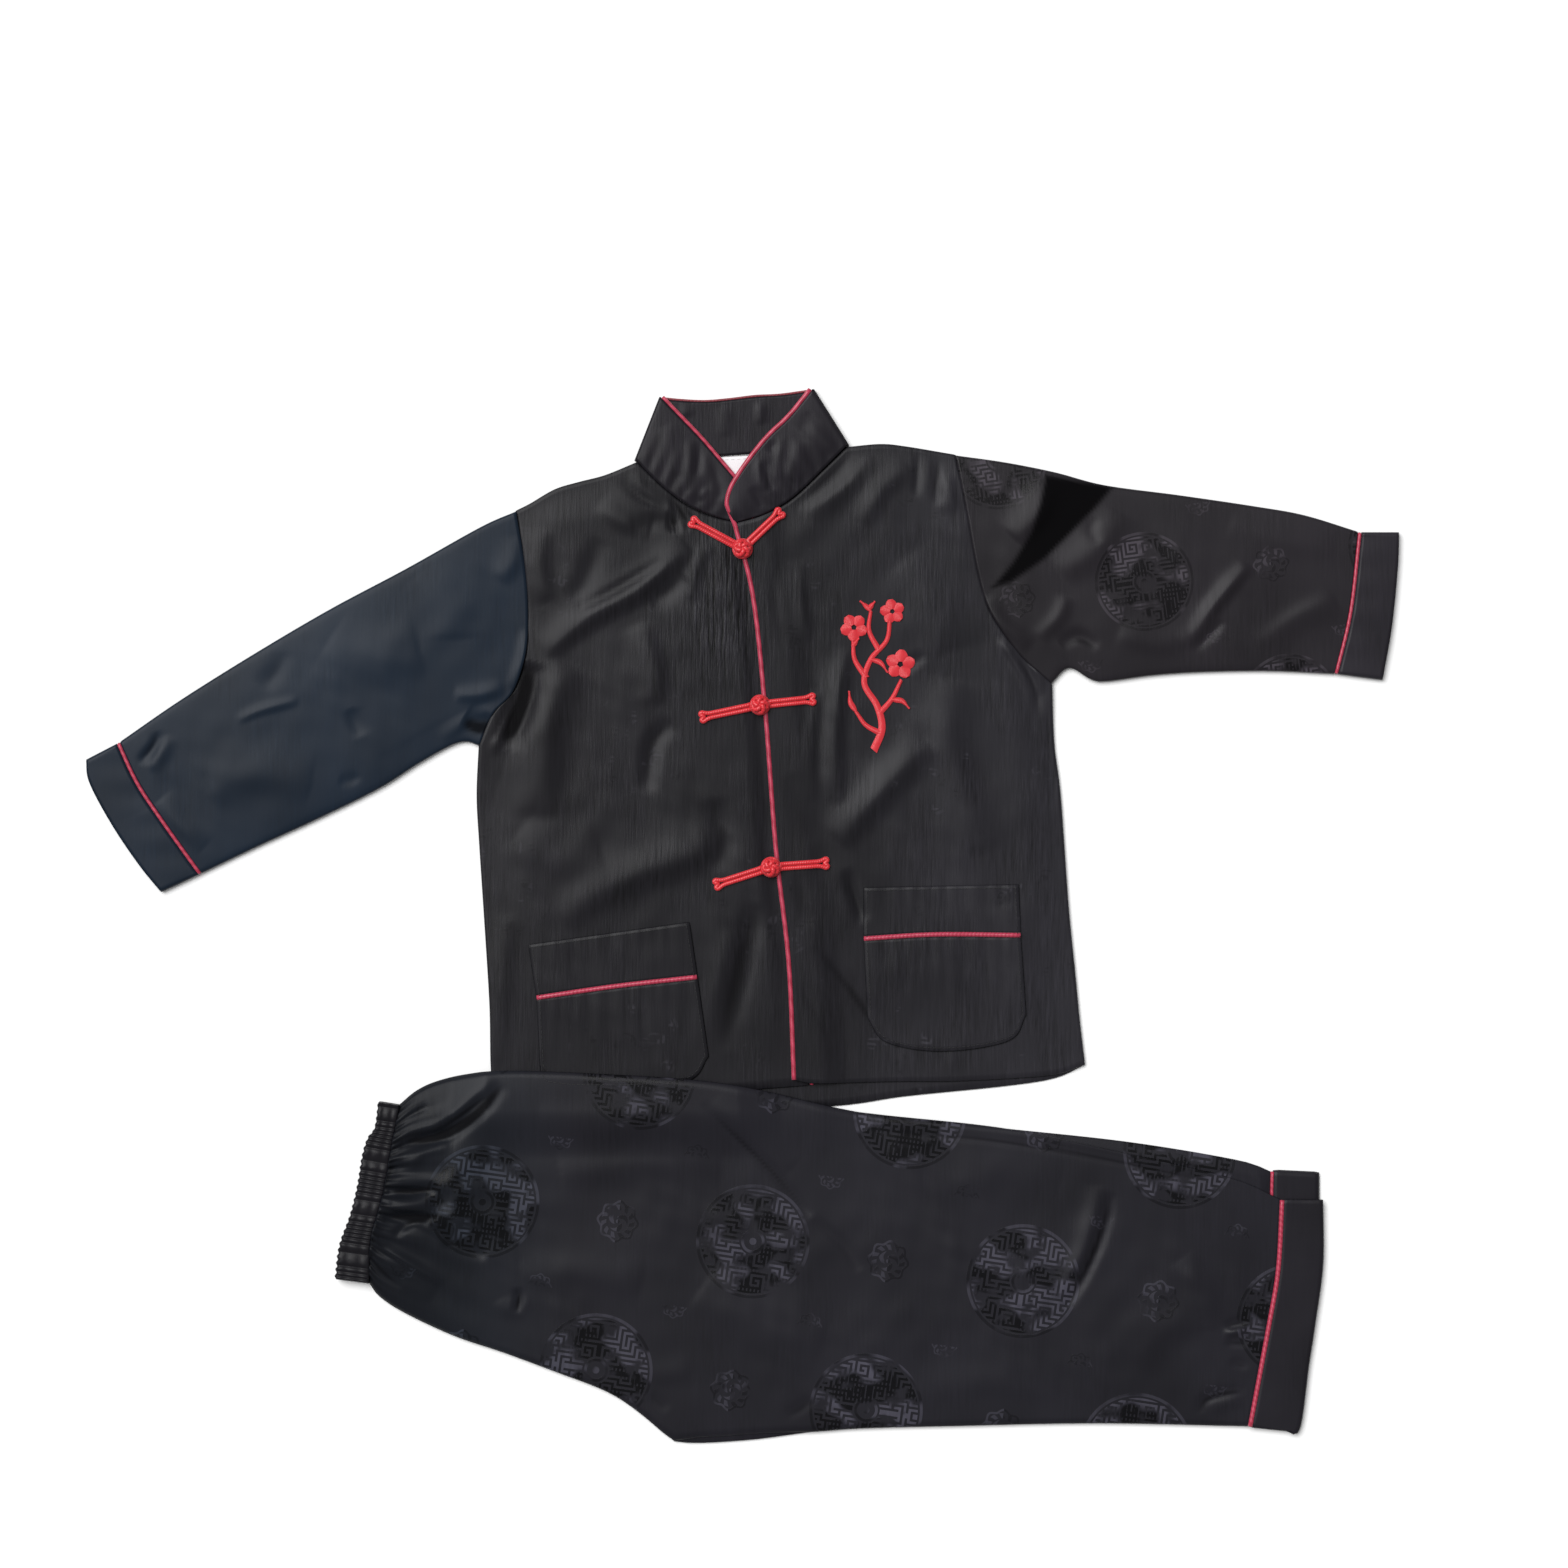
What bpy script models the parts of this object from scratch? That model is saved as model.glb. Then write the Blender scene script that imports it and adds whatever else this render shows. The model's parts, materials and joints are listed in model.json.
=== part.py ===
"""A child's tai chi uniform, black satin brocade with red piping, laid flat.

The jacket lies on its back panel with its three frog buttons closed. The trousers
are folded in half along the crotch and lie over the jacket's left hem corner.
Tables are in millimetres, X to the right and Y up as seen from above, and the
surface that the cloth rests on is Z = 0. Meshes are in metres.
"""

import math
from collections import namedtuple

import bmesh
import bpy
import numpy as np
from mathutils import Vector
from mathutils.bvhtree import BVHTree

MM = 0.001

# Driving sizes, in millimetres
CLOTH = 1.2             # wall of one layer of lined cloth
BAND = 1.6              # wall of a folded band, such as a cuff or the collar
GAP = 0.3               # clearance between neighbouring pieces
PIPING_R = 1.2          # radius of the piping cord
SEAM_SLOT = PIPING_R + GAP  # half the slot that a piped seam leaves
FROG_R = 1.2            # radius of a frog's cord
KNOT_R, KNOT_H = 6.2, 3.6   # half width and half height of a button knot
KNOT_SWELL = 0.07       # how far its wound cord swells past that, as a part of it
UNDER_FRONT = CLOTH + GAP   # underside of a front panel above the back panel
SLEEVE_EDGE = 4.2       # height of a flattened sleeve at its folded edges
PLACKET_RISE = 2.8      # how far the over front climbs onto the under front
UNDERLAP = 10.0         # how far the under front runs past the front edge
LEG_LAYERS = 3.2        # height of the layers below the top leg
HIDDEN_LIPS = ((0.8, 0.0), (0.0, 0.45), (0.7, 0.95), (0.0, 1.45), (0.9, 1.95), (2.0, 2.2))
TURN = 0.020            # part of the leg's width in which its top cloth turns down
UNDER_ROWS = (0, 0.055, 0.11, 0.18, 0.3, 0.44, 0.57, 0.68, 0.78, 0.86, 0.91, 0.948, 1)
TOP_INSET = 5.2         # how far in the hidden layers reach their full height
GATHERS = 28            # gathers of the elastic waistband
GATHER_DEPTH = 0.9      # how far the waistband dips between two gathers
WAIST_UNDER = (0.0, 4.6)    # underside and top of the waistband's lower layer
WAIST_OVER = (4.9, 8.6)     # and of its upper layer
ARM_STEPS = 7           # steps of an armhole seam, the same on both sides of it
PLEATS = 8              # soft pleats that run from the waistband into the leg
PLEAT_HEIGHT, PLEAT_REACH = 3.0, 30.0  # their height, and how far they run
FRONT_FULLNESS = 1.5    # how far a front stands clear of the back panel
NECK_LIFT = 1.3         # how far the over front lifts at the neck seam
LAP_NEAR, LAP_FAR = 16.0, 34.0  # distances from the front edge where the lap runs out
SLEEVE_CROWN = (0.4, 1.3)   # crown of a sleeve at its ends, and what its middle adds
SLEEVE_SINK = 0.6       # how far a trough may sink into a sleeve
CUFF_EXTRA = 0.4        # how much higher than the sleeve's edge a cuff ends
SEAM_CLEAR = 0.5        # clearance of a sleeve from its armhole
ARM_LANE, ARM_FLARE = 1.45, 2.3  # half distance of a frog arm's two cords, and at its tip

# Colours, as linear RGB, with roughness
SATIN = ((0.022, 0.021, 0.025), 0.42)
BLUE_SATIN = ((0.020, 0.027, 0.036), 0.42)
RED_PIPING = ((0.52, 0.03, 0.06), 0.45)
RED_CORD = ((0.72, 0.03, 0.04), 0.40)
LABEL_WHITE = ((0.85, 0.84, 0.84), 0.60)

Fold = namedtuple("Fold", "x0 y0 x1 y1 width height")
Swell = namedtuple("Swell", "height centre spread")

# Fullness of the leg along its length, by distance from the waist seam
PUFFS = [Swell(4.6, 26, 44), Swell(0.8, 210, 120)]

# Main folds of the jacket: from x0, y0 to x1, y1, half width, height (a trough is negative)
JACKET_FOLDS = [
    Fold(-112, 172, -42, 222, 14, 1.6),
    Fold(-100, 150, -36, 200, 11, -1.0),
    Fold(-160, 118, -128, 172, 9, 2.0),
    Fold(-150, 100, -100, 128, 10, 1.4),
    Fold(112, 62, 168, 120, 13, 1.2),
    Fold(150, 150, 184, 112, 10, 1.8),
    Fold(60, 262, 40, 236, 12, 1.2),
    Fold(-66, 262, -40, 236, 12, 1.4),
    Fold(24, -84, 40, 4, 9, 1.0),
]
# Main folds of the two sleeves
SLEEVE_FOLDS = [
    Fold(172, 252, 196, 226, 13, -2.2),
    Fold(204, 262, 164, 200, 7, 2.6),
    Fold(232, 246, 190, 214, 10, 2.2),
    Fold(206, 168, 300, 196, 12, 1.8),
    Fold(230, 158, 350, 170, 8, 1.0),
    Fold(-182, 122, -250, 112, 10, 2.0),
    Fold(-168, 132, -236, 156, 12, 1.5),
    Fold(-330, 110, -250, 150, 14, 1.2),
    Fold(-150, 214, -206, 186, 12, 1.4),
]
# Main folds of the trousers
TROUSER_FOLDS = [
    Fold(-214, -140, -160, -112, 8, 3.0),
    Fold(-212, -146, -150, -126, 6, -2.0),
    Fold(-220, -176, -170, -186, 9, 2.4),
    Fold(-228, -196, -180, -224, 8, 2.6),
    Fold(-16, -122, 30, -162, 9, 1.8),
    Fold(30, -162, 62, -198, 8, -1.2),
    Fold(238, -172, 204, -248, 8, 1.8),
    Fold(246, -180, 214, -252, 7, -1.0),
    Fold(-40, -318, 30, -262, 12, 1.6),
    Fold(282, -302, 312, -298, 8, -1.2),
]

# Outlines. Columns: x, y
FRONT_EDGE = [(32.1, -102.5), (28.8, -29), (20.8, 42), (14, 130), (6.4, 200), (-5, 244.7)]
NECK_LEFT = [(-5, 244.7), (12.4, 249.8), (30, 259.7), (44, 272), (64.6, 292.5)]
NECK_RIGHT = [(-65.9, 283.2), (-50, 268), (-35.4, 256.3), (-17.4, 248.6), (5, 244.2)]
NECK_BACK = [(-65.9, 283.2), (0, 287), (64.6, 292.5)]
SHOULDER_LEFT = [(64.6, 292.5), (85.8, 294.4), (101.4, 293), (132.7, 287.8)]
SHOULDER_RIGHT = [(-141.7, 252.8), (-132.9, 257.2), (-117.3, 266.2), (-101.7, 270.9), (-86, 275),
                  (-65.9, 283.2)]
ARMHOLE_LEFT = [(193, 145), (173.3, 162.8), (155.5, 188), (147.1, 213), (140.2, 250),
                (132.7, 287.8)]
ARMHOLE_RIGHT = [(-164.6, 106), (-156.1, 125.9), (-143.5, 140), (-135.5, 164), (-134.2, 193),
                 (-136.5, 222), (-141.7, 252.8)]
SIDE_LEFT = [(213.6, -93.2), (210.4, -66), (207, -30.9), (203.3, 6.6), (198.4, 75),
             (194.4, 108), (193, 145)]
SIDE_RIGHT = [(-155.5, -122.8), (-157.3, -93.4), (-158, -55.9), (-161.1, -6), (-164.4, 44),
              (-166, 75), (-164.6, 106)]
HEM_LEFT = [(32.1, -102.5), (48.3, -104.7), (96.4, -103.6), (137.7, -103.2), (192, -99.6),
            (213.6, -93.2)]
HEM_RIGHT = [(-155.5, -122.8), (-75, -115), (41, -106)]
HEM_BACK = [(-155.5, -122.8), (-60, -124.5), (52.7, -119.2), (101.4, -112.8), (163.9, -106.4),
            (195.2, -101.4), (213.6, -93.2)]
SLEEVE_TOP_LEFT = [(132.7, 287.8), (163.9, 283.4), (195.2, 277.2), (226.4, 269.1),
                   (273.3, 262.8), (320.2, 255.9), (351.4, 250.3), (385.8, 239.7)]
SLEEVE_LOW_LEFT = [(193, 145), (204, 154.6), (218, 147.4), (228, 146.4), (257.7, 150.3),
                   (290, 152.3), (330, 152.8), (371, 151)]
SLEEVE_TOP_RIGHT = [(-141.7, 252.8), (-164.2, 242.8), (-211, 216.6), (-258, 191.6),
                    (-304.8, 164.1), (-351.7, 134.7), (-390.4, 108)]
SLEEVE_LOW_RIGHT = [(-164.6, 106), (-173, 108.6), (-183, 106), (-203.6, 94.5), (-226.7, 79.8),
                    (-264.2, 61.2), (-304.2, 42.8), (-339.2, 26)]
CUFF_END_LEFT = [(399.8, 147.2), (405.8, 181.6), (409.4, 218), (410.2, 239.7)]
CUFF_SEAM_LEFT = [(371, 151), (380, 190), (385.8, 239.7)]
CUFF_END_RIGHT = [(-363.5, 14.6), (-377.3, 31.6), (-394.2, 56.6), (-408.3, 83),
                  (-410.4, 97.6)]
CUFF_SEAM_RIGHT = [(-339.2, 26), (-362, 58), (-378, 82), (-390.4, 108)]
WAIST = [(-233.2, -229.6), (-231.5, -203), (-223.6, -171.6), (-214.2, -118.4)]
WAIST_OUTER = [(-255, -226.8), (-252.3, -206), (-245.6, -187), (-241, -168.4), (-238, -150),
               (-234.6, -139), (-230, -132), (-227.9, -116.2)]
LEG_TOP = [(-214.2, -118.4), (-204, -110), (-191.7, -104.2), (-172, -99.4), (-150, -97.2),
           (-100, -98.6), (-14.2, -104.7), (60, -120.8), (85.8, -124.9), (160.8, -133),
           (220.8, -144.7), (304.6, -164.1), (337.1, -177.8)]
LOWER_LEG_TOP = LEG_TOP[:-3] + [(242.1, -141.8), (310.8, -153.2), (331.4, -160.3)]
SEAT = [(-233.2, -229.6), (-226.7, -238), (-211, -248.2), (-180, -262.6), (-148.6, -273.2),
        (-117.3, -284.8), (-86, -296.8), (-66, -309.2), (-42.3, -329.2)]
INSEAM = [(-42.3, -329.2), (-26.7, -330.2), (7.7, -328), (38.9, -323.9), (70.2, -320.7),
          (132.7, -319), (223.3, -317.3), (317.1, -319.2)]
HEM_SEAM = [(317.1, -319.2), (328.3, -259.1), (334.6, -221.6), (337.1, -177.8)]
LOWER_HEM_SEAM = [(317.1, -319.2), (326, -259), (330, -210), (331.4, -160.3)]
HEM_END = [(339.6, -321.6), (347.6, -320.6), (353.3, -281), (357.1, -256), (362.1, -218),
           (362.1, -178)]
LOWER_HEM_END = [(337, -319.4), (347, -316), (354, -265), (359, -210), (359.6, -161.6)]

# The collar's band, flattened. Columns: base x, base y, base z, top x, top y, top z
RIGHT_WING = [
    (5.0, 244.4, 2.4, 5.3, 252.0, 2.5),
    (-4.0, 246.0, 2.5, 3.5, 262.0, 2.8),
    (-17.0, 249.2, 2.8, -4.0, 273.0, 4.0),
    (-31.0, 254.8, 3.1, -14.0, 285.0, 4.1),
    (-44.0, 262.9, 3.4, -26.0, 299.0, 3.9),
    (-55.0, 272.4, 3.8, -38.0, 311.5, 4.0),
    (-65.9, 283.5, 4.0, -50.0, 324.0, 4.0),
]
LEFT_WING = [
    (64.6, 293.1, 4.0, 42.2, 328.8, 4.0),
    (50.0, 278.6, 4.4, 29.2, 312.8, 4.6),
    (38.0, 266.8, 4.8, 16.0, 300.0, 5.4),
    (27.0, 258.0, 5.0, 5.3, 287.0, 6.4),
    (14.0, 251.0, 5.1, -3.7, 274.0, 6.9),
    (3.0, 247.6, 5.1, -8.8, 264.0, 6.2),
    (-5.0, 245.4, 5.1, -10.2, 254.5, 5.9),
]
BACK_BAND_Z = 0.9
BACK_BAND_TOP = [(-50.0, 324.0), (-39.2, 322.9), (-23.6, 322.2), (-7.9, 323.5), (7.7, 325.4),
                 (23.3, 326.2), (42.2, 328.8)]

# Pockets: band's top, piping seam, sides and bottom, each from its left to its right end
Pocket = namedtuple("Pocket", "side top seam bottom")
POCKETS = [
    Pocket("right", [(-133.6, -18.4), (-33.6, -4.4)],
           [(-128.6, -51.3), (-80, -44.2), (-28.6, -38.4)],
           [(-126.5, -93), (-121, -105), (-75, -107), (-34, -103), (-21.7, -88)]),
    Pocket("left", [(75.8, 17.2), (172.1, 19.1)],
           [(75.8, -14.4), (120.2, -11.8), (173.3, -12.2)],
           [(78.4, -64), (90, -79), (125, -84.6), (166, -78), (176.8, -62)]),
]

# Frog closures: knot's place, then the ends of the right and the left arm
Frog = namedtuple("Frog", "number knot right_arm left_arm")
FROGS = [
    Frog(1, (-0.1, 229.1), (-32.3, 246.6), (24.3, 252.4)),
    Frog(2, (10.8, 131.6), (-26.3, 123.8), (44.9, 135.3)),
    Frog(3, (17.7, 30.3), (-17.3, 19.1), (53.3, 32.8)),
]

# Where the trousers climb over the jacket's hem. Columns: x, climb
CLIMB = [(-182, 0), (-160, 5.0), (-2, 5.0), (24, 1.9), (48, 1.7), (74, 0)]
CLIMB_NEAR, CLIMB_FAR = -121.0, -152.0  # y where the climb is full, and where it starts
LEFT_OUT, RIGHT_OUT = (-0.93, 0.36), (0.84, 0.54)  # ways out of the collar's two folds

for old in list(bpy.data.objects):
    bpy.data.objects.remove(old, do_unlink=True)

parts = bpy.data.collections.new("tai_chi_uniform")
bpy.context.scene.collection.children.link(parts)


def material(name, look):
    """A Principled material with a colour and a roughness."""
    made = bpy.data.materials.new(name)
    made.use_nodes = True
    shader = made.node_tree.nodes["Principled BSDF"]
    shader.inputs["Base Color"].default_value = (*look[0], 1)
    shader.inputs["Roughness"].default_value = look[1]
    shader.inputs["Metallic"].default_value = 0.0
    return made


satin = material("black_satin", SATIN)
blue_satin = material("blue_black_satin", BLUE_SATIN)
piping_red = material("red_piping", RED_PIPING)
cord_red = material("red_cord", RED_CORD)
label_white = material("white_label", LABEL_WHITE)


def smooth_step(low, high, value):
    """0 below low, 1 above high, and a smooth rise between them."""
    t = np.clip((np.asarray(value, float) - low) / (high - low), 0, 1)
    return t * t * (3 - 2 * t)


def through(rows, count):
    """Points on a smooth curve through the rows: count + 1 even ones, or at fractions."""
    p = np.asarray(rows, float)
    if len(p) == 2:
        fine = p
    else:
        ends = np.vstack([2 * p[0] - p[1], p, 2 * p[-1] - p[-2]])
        t = np.linspace(0, 1, 12, endpoint=False)[:, None]
        spans = []
        for a, b, c, d in zip(ends, ends[1:], ends[2:], ends[3:]):
            bend = (2 * a - 5 * b + 4 * c - d) * t**2 + (3 * b - a - 3 * c + d) * t**3
            spans.append(b + ((c - a) * t + bend) / 2)
        fine = np.vstack(spans + [p[-1:]])
    steps = np.linalg.norm(np.diff(fine, axis=0), axis=1)
    along = np.concatenate([[0], np.cumsum(steps)])
    parts_of = np.linspace(0, 1, count + 1) if isinstance(count, int) else np.asarray(count)
    places = parts_of * along[-1]
    return np.column_stack([np.interp(places, along, column) for column in fine.T])


def edge(*spans):
    """One boundary from several smooth spans, each a table and its step count."""
    pieces = [through(rows, count) for rows, count in spans]
    return np.vstack([pieces[0]] + [piece[1:] for piece in pieces[1:]])


def patch(low, high, left, right, rows=None):
    """Points of a sheet between four boundaries, as rows from low to high."""
    u = np.linspace(0, 1, len(low))[None, :, None]
    v = np.linspace(0, 1, len(left)) if rows is None else np.asarray(rows)
    v = v[:, None, None]
    across = (1 - v) * low[None] + v * high[None]
    along = (1 - u) * left[:, None] + u * right[:, None]
    corners = ((1 - u) * (1 - v) * low[0] + u * (1 - v) * low[-1]
               + (1 - u) * v * high[0] + u * v * high[-1])
    return across + along - corners


def fold_height(folds, x, y):
    """Sum of soft ridges and troughs at x, y."""
    total = np.zeros(np.shape(x))
    for fold in folds:
        dx, dy = fold.x1 - fold.x0, fold.y1 - fold.y0
        t = np.clip(((x - fold.x0) * dx + (y - fold.y0) * dy) / (dx * dx + dy * dy), 0, 1)
        away = (x - fold.x0 - t * dx) ** 2 + (y - fold.y0 - t * dy) ** 2
        total = total + fold.height * np.exp(-away / fold.width**2)
    return total


def front_edge_x(y):
    """x of the over front's edge at a height y."""
    line = through(FRONT_EDGE, 40)
    return np.interp(y, line[:, 1], line[:, 0])


def add_object(name, points, faces, look, wall=0.0, offset=1.0):
    """A mesh object from points in millimetres, with Solidify where a wall is given."""
    mesh = bpy.data.meshes.new(name)
    mesh.from_pydata([tuple(np.asarray(p) * MM) for p in points], [], faces)
    mesh.materials.append(look)
    mesh.shade_smooth()
    made = bpy.data.objects.new(name, mesh)
    parts.objects.link(made)
    if wall:
        solid = made.modifiers.new("cloth thickness", "SOLIDIFY")
        solid.thickness = wall * MM
        solid.offset = offset
    return made


def face_outwards(made):
    """Turn a closed mesh's faces outwards."""
    shape = bmesh.new()
    shape.from_mesh(made.data)
    bmesh.ops.recalc_face_normals(shape, faces=shape.faces)
    shape.to_mesh(made.data)
    shape.free()
    return made


def grid_faces(rows, columns, closed=False):
    """Quads of a grid, whose rows may close into rings."""
    wide = columns if closed else columns - 1
    return [(r * columns + c, r * columns + (c + 1) % columns,
             (r + 1) * columns + (c + 1) % columns, (r + 1) * columns + c)
            for r in range(rows - 1) for c in range(wide)]


def sheet(name, points, look, wall=CLOTH):
    """A panel that grows upwards from the grid of its underside."""
    rows, columns = points.shape[:2]
    return add_object(name, points.reshape(-1, 3), grid_faces(rows, columns), look, wall)


def with_height(grid, z):
    """A flat grid of points with its heights."""
    return np.concatenate([grid, np.broadcast_to(z, grid.shape[:2])[..., None]], axis=2)


class Stack:
    """The pieces laid down so far, to find how high the next one lies."""

    def __init__(self):
        self.trees = []

    def add(self, *objects):
        bpy.context.view_layer.update()
        graph = bpy.context.evaluated_depsgraph_get()
        self.trees += [BVHTree.FromObject(thing, graph) for thing in objects]

    def height(self, x, y, reach=0.0):
        """Highest point of the stack at x, y, or within reach of it."""
        ring = [(0, 0)]
        if reach:
            ring += [(reach * math.cos(a), reach * math.sin(a))
                     for a in np.linspace(0, 2 * math.pi, 8, endpoint=False)]
        best = 0.0
        for dx, dy in ring:
            start = Vector(((x + dx) * MM, (y + dy) * MM, 0.2))
            for tree in self.trees:
                hit = tree.ray_cast(start, Vector((0, 0, -1)))[0]
                if hit:
                    best = max(best, hit.z / MM)
        return best


stack = Stack()


def cord(name, points, radius, look, closed=False):
    """A round cord along points, as a curve with a bevel and filled caps."""
    curve = bpy.data.curves.new(name, "CURVE")
    curve.dimensions = "3D"
    curve.bevel_depth = radius * MM
    curve.bevel_resolution = 1
    curve.use_fill_caps = True
    curve.twist_mode = "Z_UP"
    line = curve.splines.new("POLY")
    line.points.add(len(points) - 1)
    for point, place in zip(line.points, points):
        point.co = (*(np.asarray(place) * MM), 1)
    line.use_cyclic_u = closed
    curve.materials.append(look)
    made = bpy.data.objects.new(name, curve)
    parts.objects.link(made)
    return made


def lay_cord(flat, radius, reach=None, soften=2):
    """Heights for a cord that lies on the stack along flat points."""
    reach = radius if reach is None else reach
    low = np.array([stack.height(x, y, reach) for x, y in flat]) + GAP + radius
    z = low.copy()
    for _ in range(soften):
        padded = np.concatenate([z[:1], z, z[-1:]])
        z = np.maximum(low, (padded[:-2] + 2 * padded[1:-1] + padded[2:]) / 4)
    return np.column_stack([flat, z])


def inset(flat, amount):
    """A line of points moved to the left of its own direction."""
    along = np.gradient(flat, axis=0)
    along /= np.linalg.norm(along, axis=1)[:, None]
    return flat + amount * np.column_stack([-along[:, 1], along[:, 0]])


def jacket_back():
    """The back panel, flat on the surface below it."""
    left = edge((SIDE_RIGHT, 6), (ARMHOLE_RIGHT, ARM_STEPS))
    right = edge((SIDE_LEFT, 6), (ARMHOLE_LEFT, ARM_STEPS))
    top = edge((SHOULDER_RIGHT, 3), (NECK_BACK, 4), (SHOULDER_LEFT, 3))
    grid = patch(through(HEM_BACK, 10), top, left, right)
    return sheet("jacket_back", with_height(grid, 0.0), satin)


def seam_rise(u_side, v, side_rows, rows):
    """How far a front rises: nothing at its side seam and hem, full at the armhole."""
    armhole = smooth_step(side_rows - 2, side_rows + 1, v * rows)
    shoulder = 1 - smooth_step(0.93, 1.0, v)
    inner = smooth_step(0.0, 0.16, u_side)
    hem = smooth_step(0.02, 0.28, v)
    return np.maximum(armhole * shoulder, inner * shoulder) * hem


def front_over():
    """The wearer's left front, which laps over the other at the front edge."""
    side_rows, arm_rows = 8, ARM_STEPS
    rows = side_rows + arm_rows
    left = through(FRONT_EDGE, rows)
    right = edge((SIDE_LEFT, side_rows), (ARMHOLE_LEFT, arm_rows))
    top = edge((NECK_LEFT, 6), (SHOULDER_LEFT, 6))
    grid = patch(through(HEM_LEFT, 12), top, left, right)
    u, v = np.meshgrid(np.linspace(0, 1, 13), np.linspace(0, 1, rows + 1))
    x, y = grid[..., 0].copy(), grid[..., 1].copy()
    past = x - front_edge_x(y)
    lap = 1 - smooth_step(LAP_NEAR, LAP_FAR, past)
    rise = seam_rise(1 - u, v, side_rows, rows)
    full = FRONT_FULLNESS * smooth_step(0, 0.2, u)
    soft = (full + fold_height(JACKET_FOLDS, x, y)) * rise
    neck = NECK_LIFT * smooth_step(0.9, 1.0, v) * smooth_step(0.5, 0.3, u) * (1 - lap)
    z = UNDER_FRONT + PLACKET_RISE * lap + np.maximum(soft, 0) * (1 - lap) + neck
    grid[:, 0, 0] += SEAM_SLOT + GAP / 2
    return sheet("jacket_front_left", with_height(grid, z), satin)


def front_under():
    """The wearer's right front, whose edge runs on below the other front."""
    side_rows, arm_rows = 8, ARM_STEPS
    rows = side_rows + arm_rows
    left = edge((SIDE_RIGHT, side_rows), (ARMHOLE_RIGHT, arm_rows))
    right = through(FRONT_EDGE, rows) + np.array([UNDERLAP, 0])
    right[0], right[-1] = HEM_RIGHT[-1], NECK_RIGHT[-1]
    top = edge((SHOULDER_RIGHT, 5), (NECK_RIGHT, 8))
    grid = patch(through(HEM_RIGHT, 13), top, left, right)
    u, v = np.meshgrid(np.linspace(0, 1, 14), np.linspace(0, 1, rows + 1))
    x, y = grid[..., 0], grid[..., 1]
    lap = smooth_step(-14, -3, x - front_edge_x(y))
    rise = seam_rise(u, v, side_rows, rows)
    soft = (FRONT_FULLNESS + fold_height(JACKET_FOLDS, x, y)) * rise
    z = UNDER_FRONT + np.maximum(soft, 0) * (1 - lap)
    return sheet("jacket_front_right", with_height(grid, z), satin)


def ring(row, height, tops, wall_in=0.0):
    """One section of a flattened tube, from the points of a row across it."""
    r = height / 2 - wall_in
    first, last = row[0] - row[1], row[-1] - row[-2]
    first, last = first / np.linalg.norm(first), last / np.linalg.norm(last)
    flat = row.copy()
    flat[0] = row[0] - first * (r + wall_in)
    flat[-1] = row[-1] - last * (r + wall_in)
    upper = [(*p, z - wall_in) for p, z in zip(flat, tops)]
    lower = [(*p, wall_in) for p in flat[::-1]]
    turn = [math.radians(a) for a in (45, 0, -45)]
    middle = height / 2
    far = [(*(flat[-1] + last * r * math.cos(a)), middle + r * math.sin(a)) for a in turn]
    near = [(*(flat[0] + first * r * math.cos(a)), middle + r * math.sin(a))
            for a in reversed(turn)]
    return upper + far + lower + near


def tube(name, sections, look, wall):
    """An open tube of cloth through its sections, its wall growing inwards."""
    count = len(sections[0])
    points = [p for section in sections for p in section]
    faces = grid_faces(len(sections), count, closed=True)
    made = add_object(name, points, faces, look, wall, offset=-1.0)
    shape = bmesh.new()
    shape.from_mesh(made.data)
    bmesh.ops.recalc_face_normals(shape, faces=shape.faces)
    if sum(f.normal.z * (f.calc_center_median().z - height_middle(sections) * MM)
           for f in shape.faces) < 0:
        bmesh.ops.reverse_faces(shape, faces=shape.faces)
    shape.to_mesh(made.data)
    shape.free()
    return made


def height_middle(sections):
    """Half way between the lowest and the highest point of the sections."""
    heights = [p[2] for section in sections for p in section]
    return (max(heights) + min(heights)) / 2


def square_off(line, toward):
    """Unit vectors square to a line, on the side that toward points to."""
    along = np.gradient(line, axis=0)
    square = np.column_stack([-along[:, 1], along[:, 0]])
    square /= np.linalg.norm(square, axis=1)[:, None]
    return square * np.sign(square @ toward)[:, None]


def sleeve_grid(top, low, armhole, seam, rows, columns):
    """Rows across a sleeve from armhole to cuff, each from its upper to its lower edge."""
    upper, lower = through(top, rows), through(low, rows)
    start = through(armhole, columns)[::-1]
    end = through(seam, columns)[::-1]
    grid = patch(start, end, upper, lower)
    toward = grid[-1].mean(axis=0) - grid[0].mean(axis=0)
    grid[0] += square_off(grid[0], toward) * SEAM_CLEAR
    grid[-1] -= square_off(grid[-1], toward) * SEAM_SLOT
    return grid


def sleeve_tops(row, v):
    """Heights of a sleeve's upper cloth across one row."""
    u = np.linspace(0, 1, len(row))
    across = np.sin(np.pi * u) ** 0.6
    crown = (SLEEVE_CROWN[0] + SLEEVE_CROWN[1] * np.sin(np.pi * v)) * across
    folds = fold_height(SLEEVE_FOLDS, row[:, 0], row[:, 1]) * across
    return SLEEVE_EDGE + np.maximum(crown + folds, -SLEEVE_SINK * across)


def cuff_rings(seam, end, start_tops, height):
    """Sections of a band cuff between its seam and its open end."""
    steps = len(start_tops) - 1
    seam_line = through(seam, steps)[::-1]
    end_line = through(end, steps)[::-1]
    along = end_line - seam_line
    along /= np.linalg.norm(along, axis=1)[:, None]
    rows = [seam_line + along * SEAM_SLOT, (seam_line + end_line) / 2, end_line]
    tops = [start_tops, (start_tops + height + GAP) / 2, np.full(steps + 1, height)]
    return [ring(row, height, top) for row, top in zip(rows, tops)]


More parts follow.
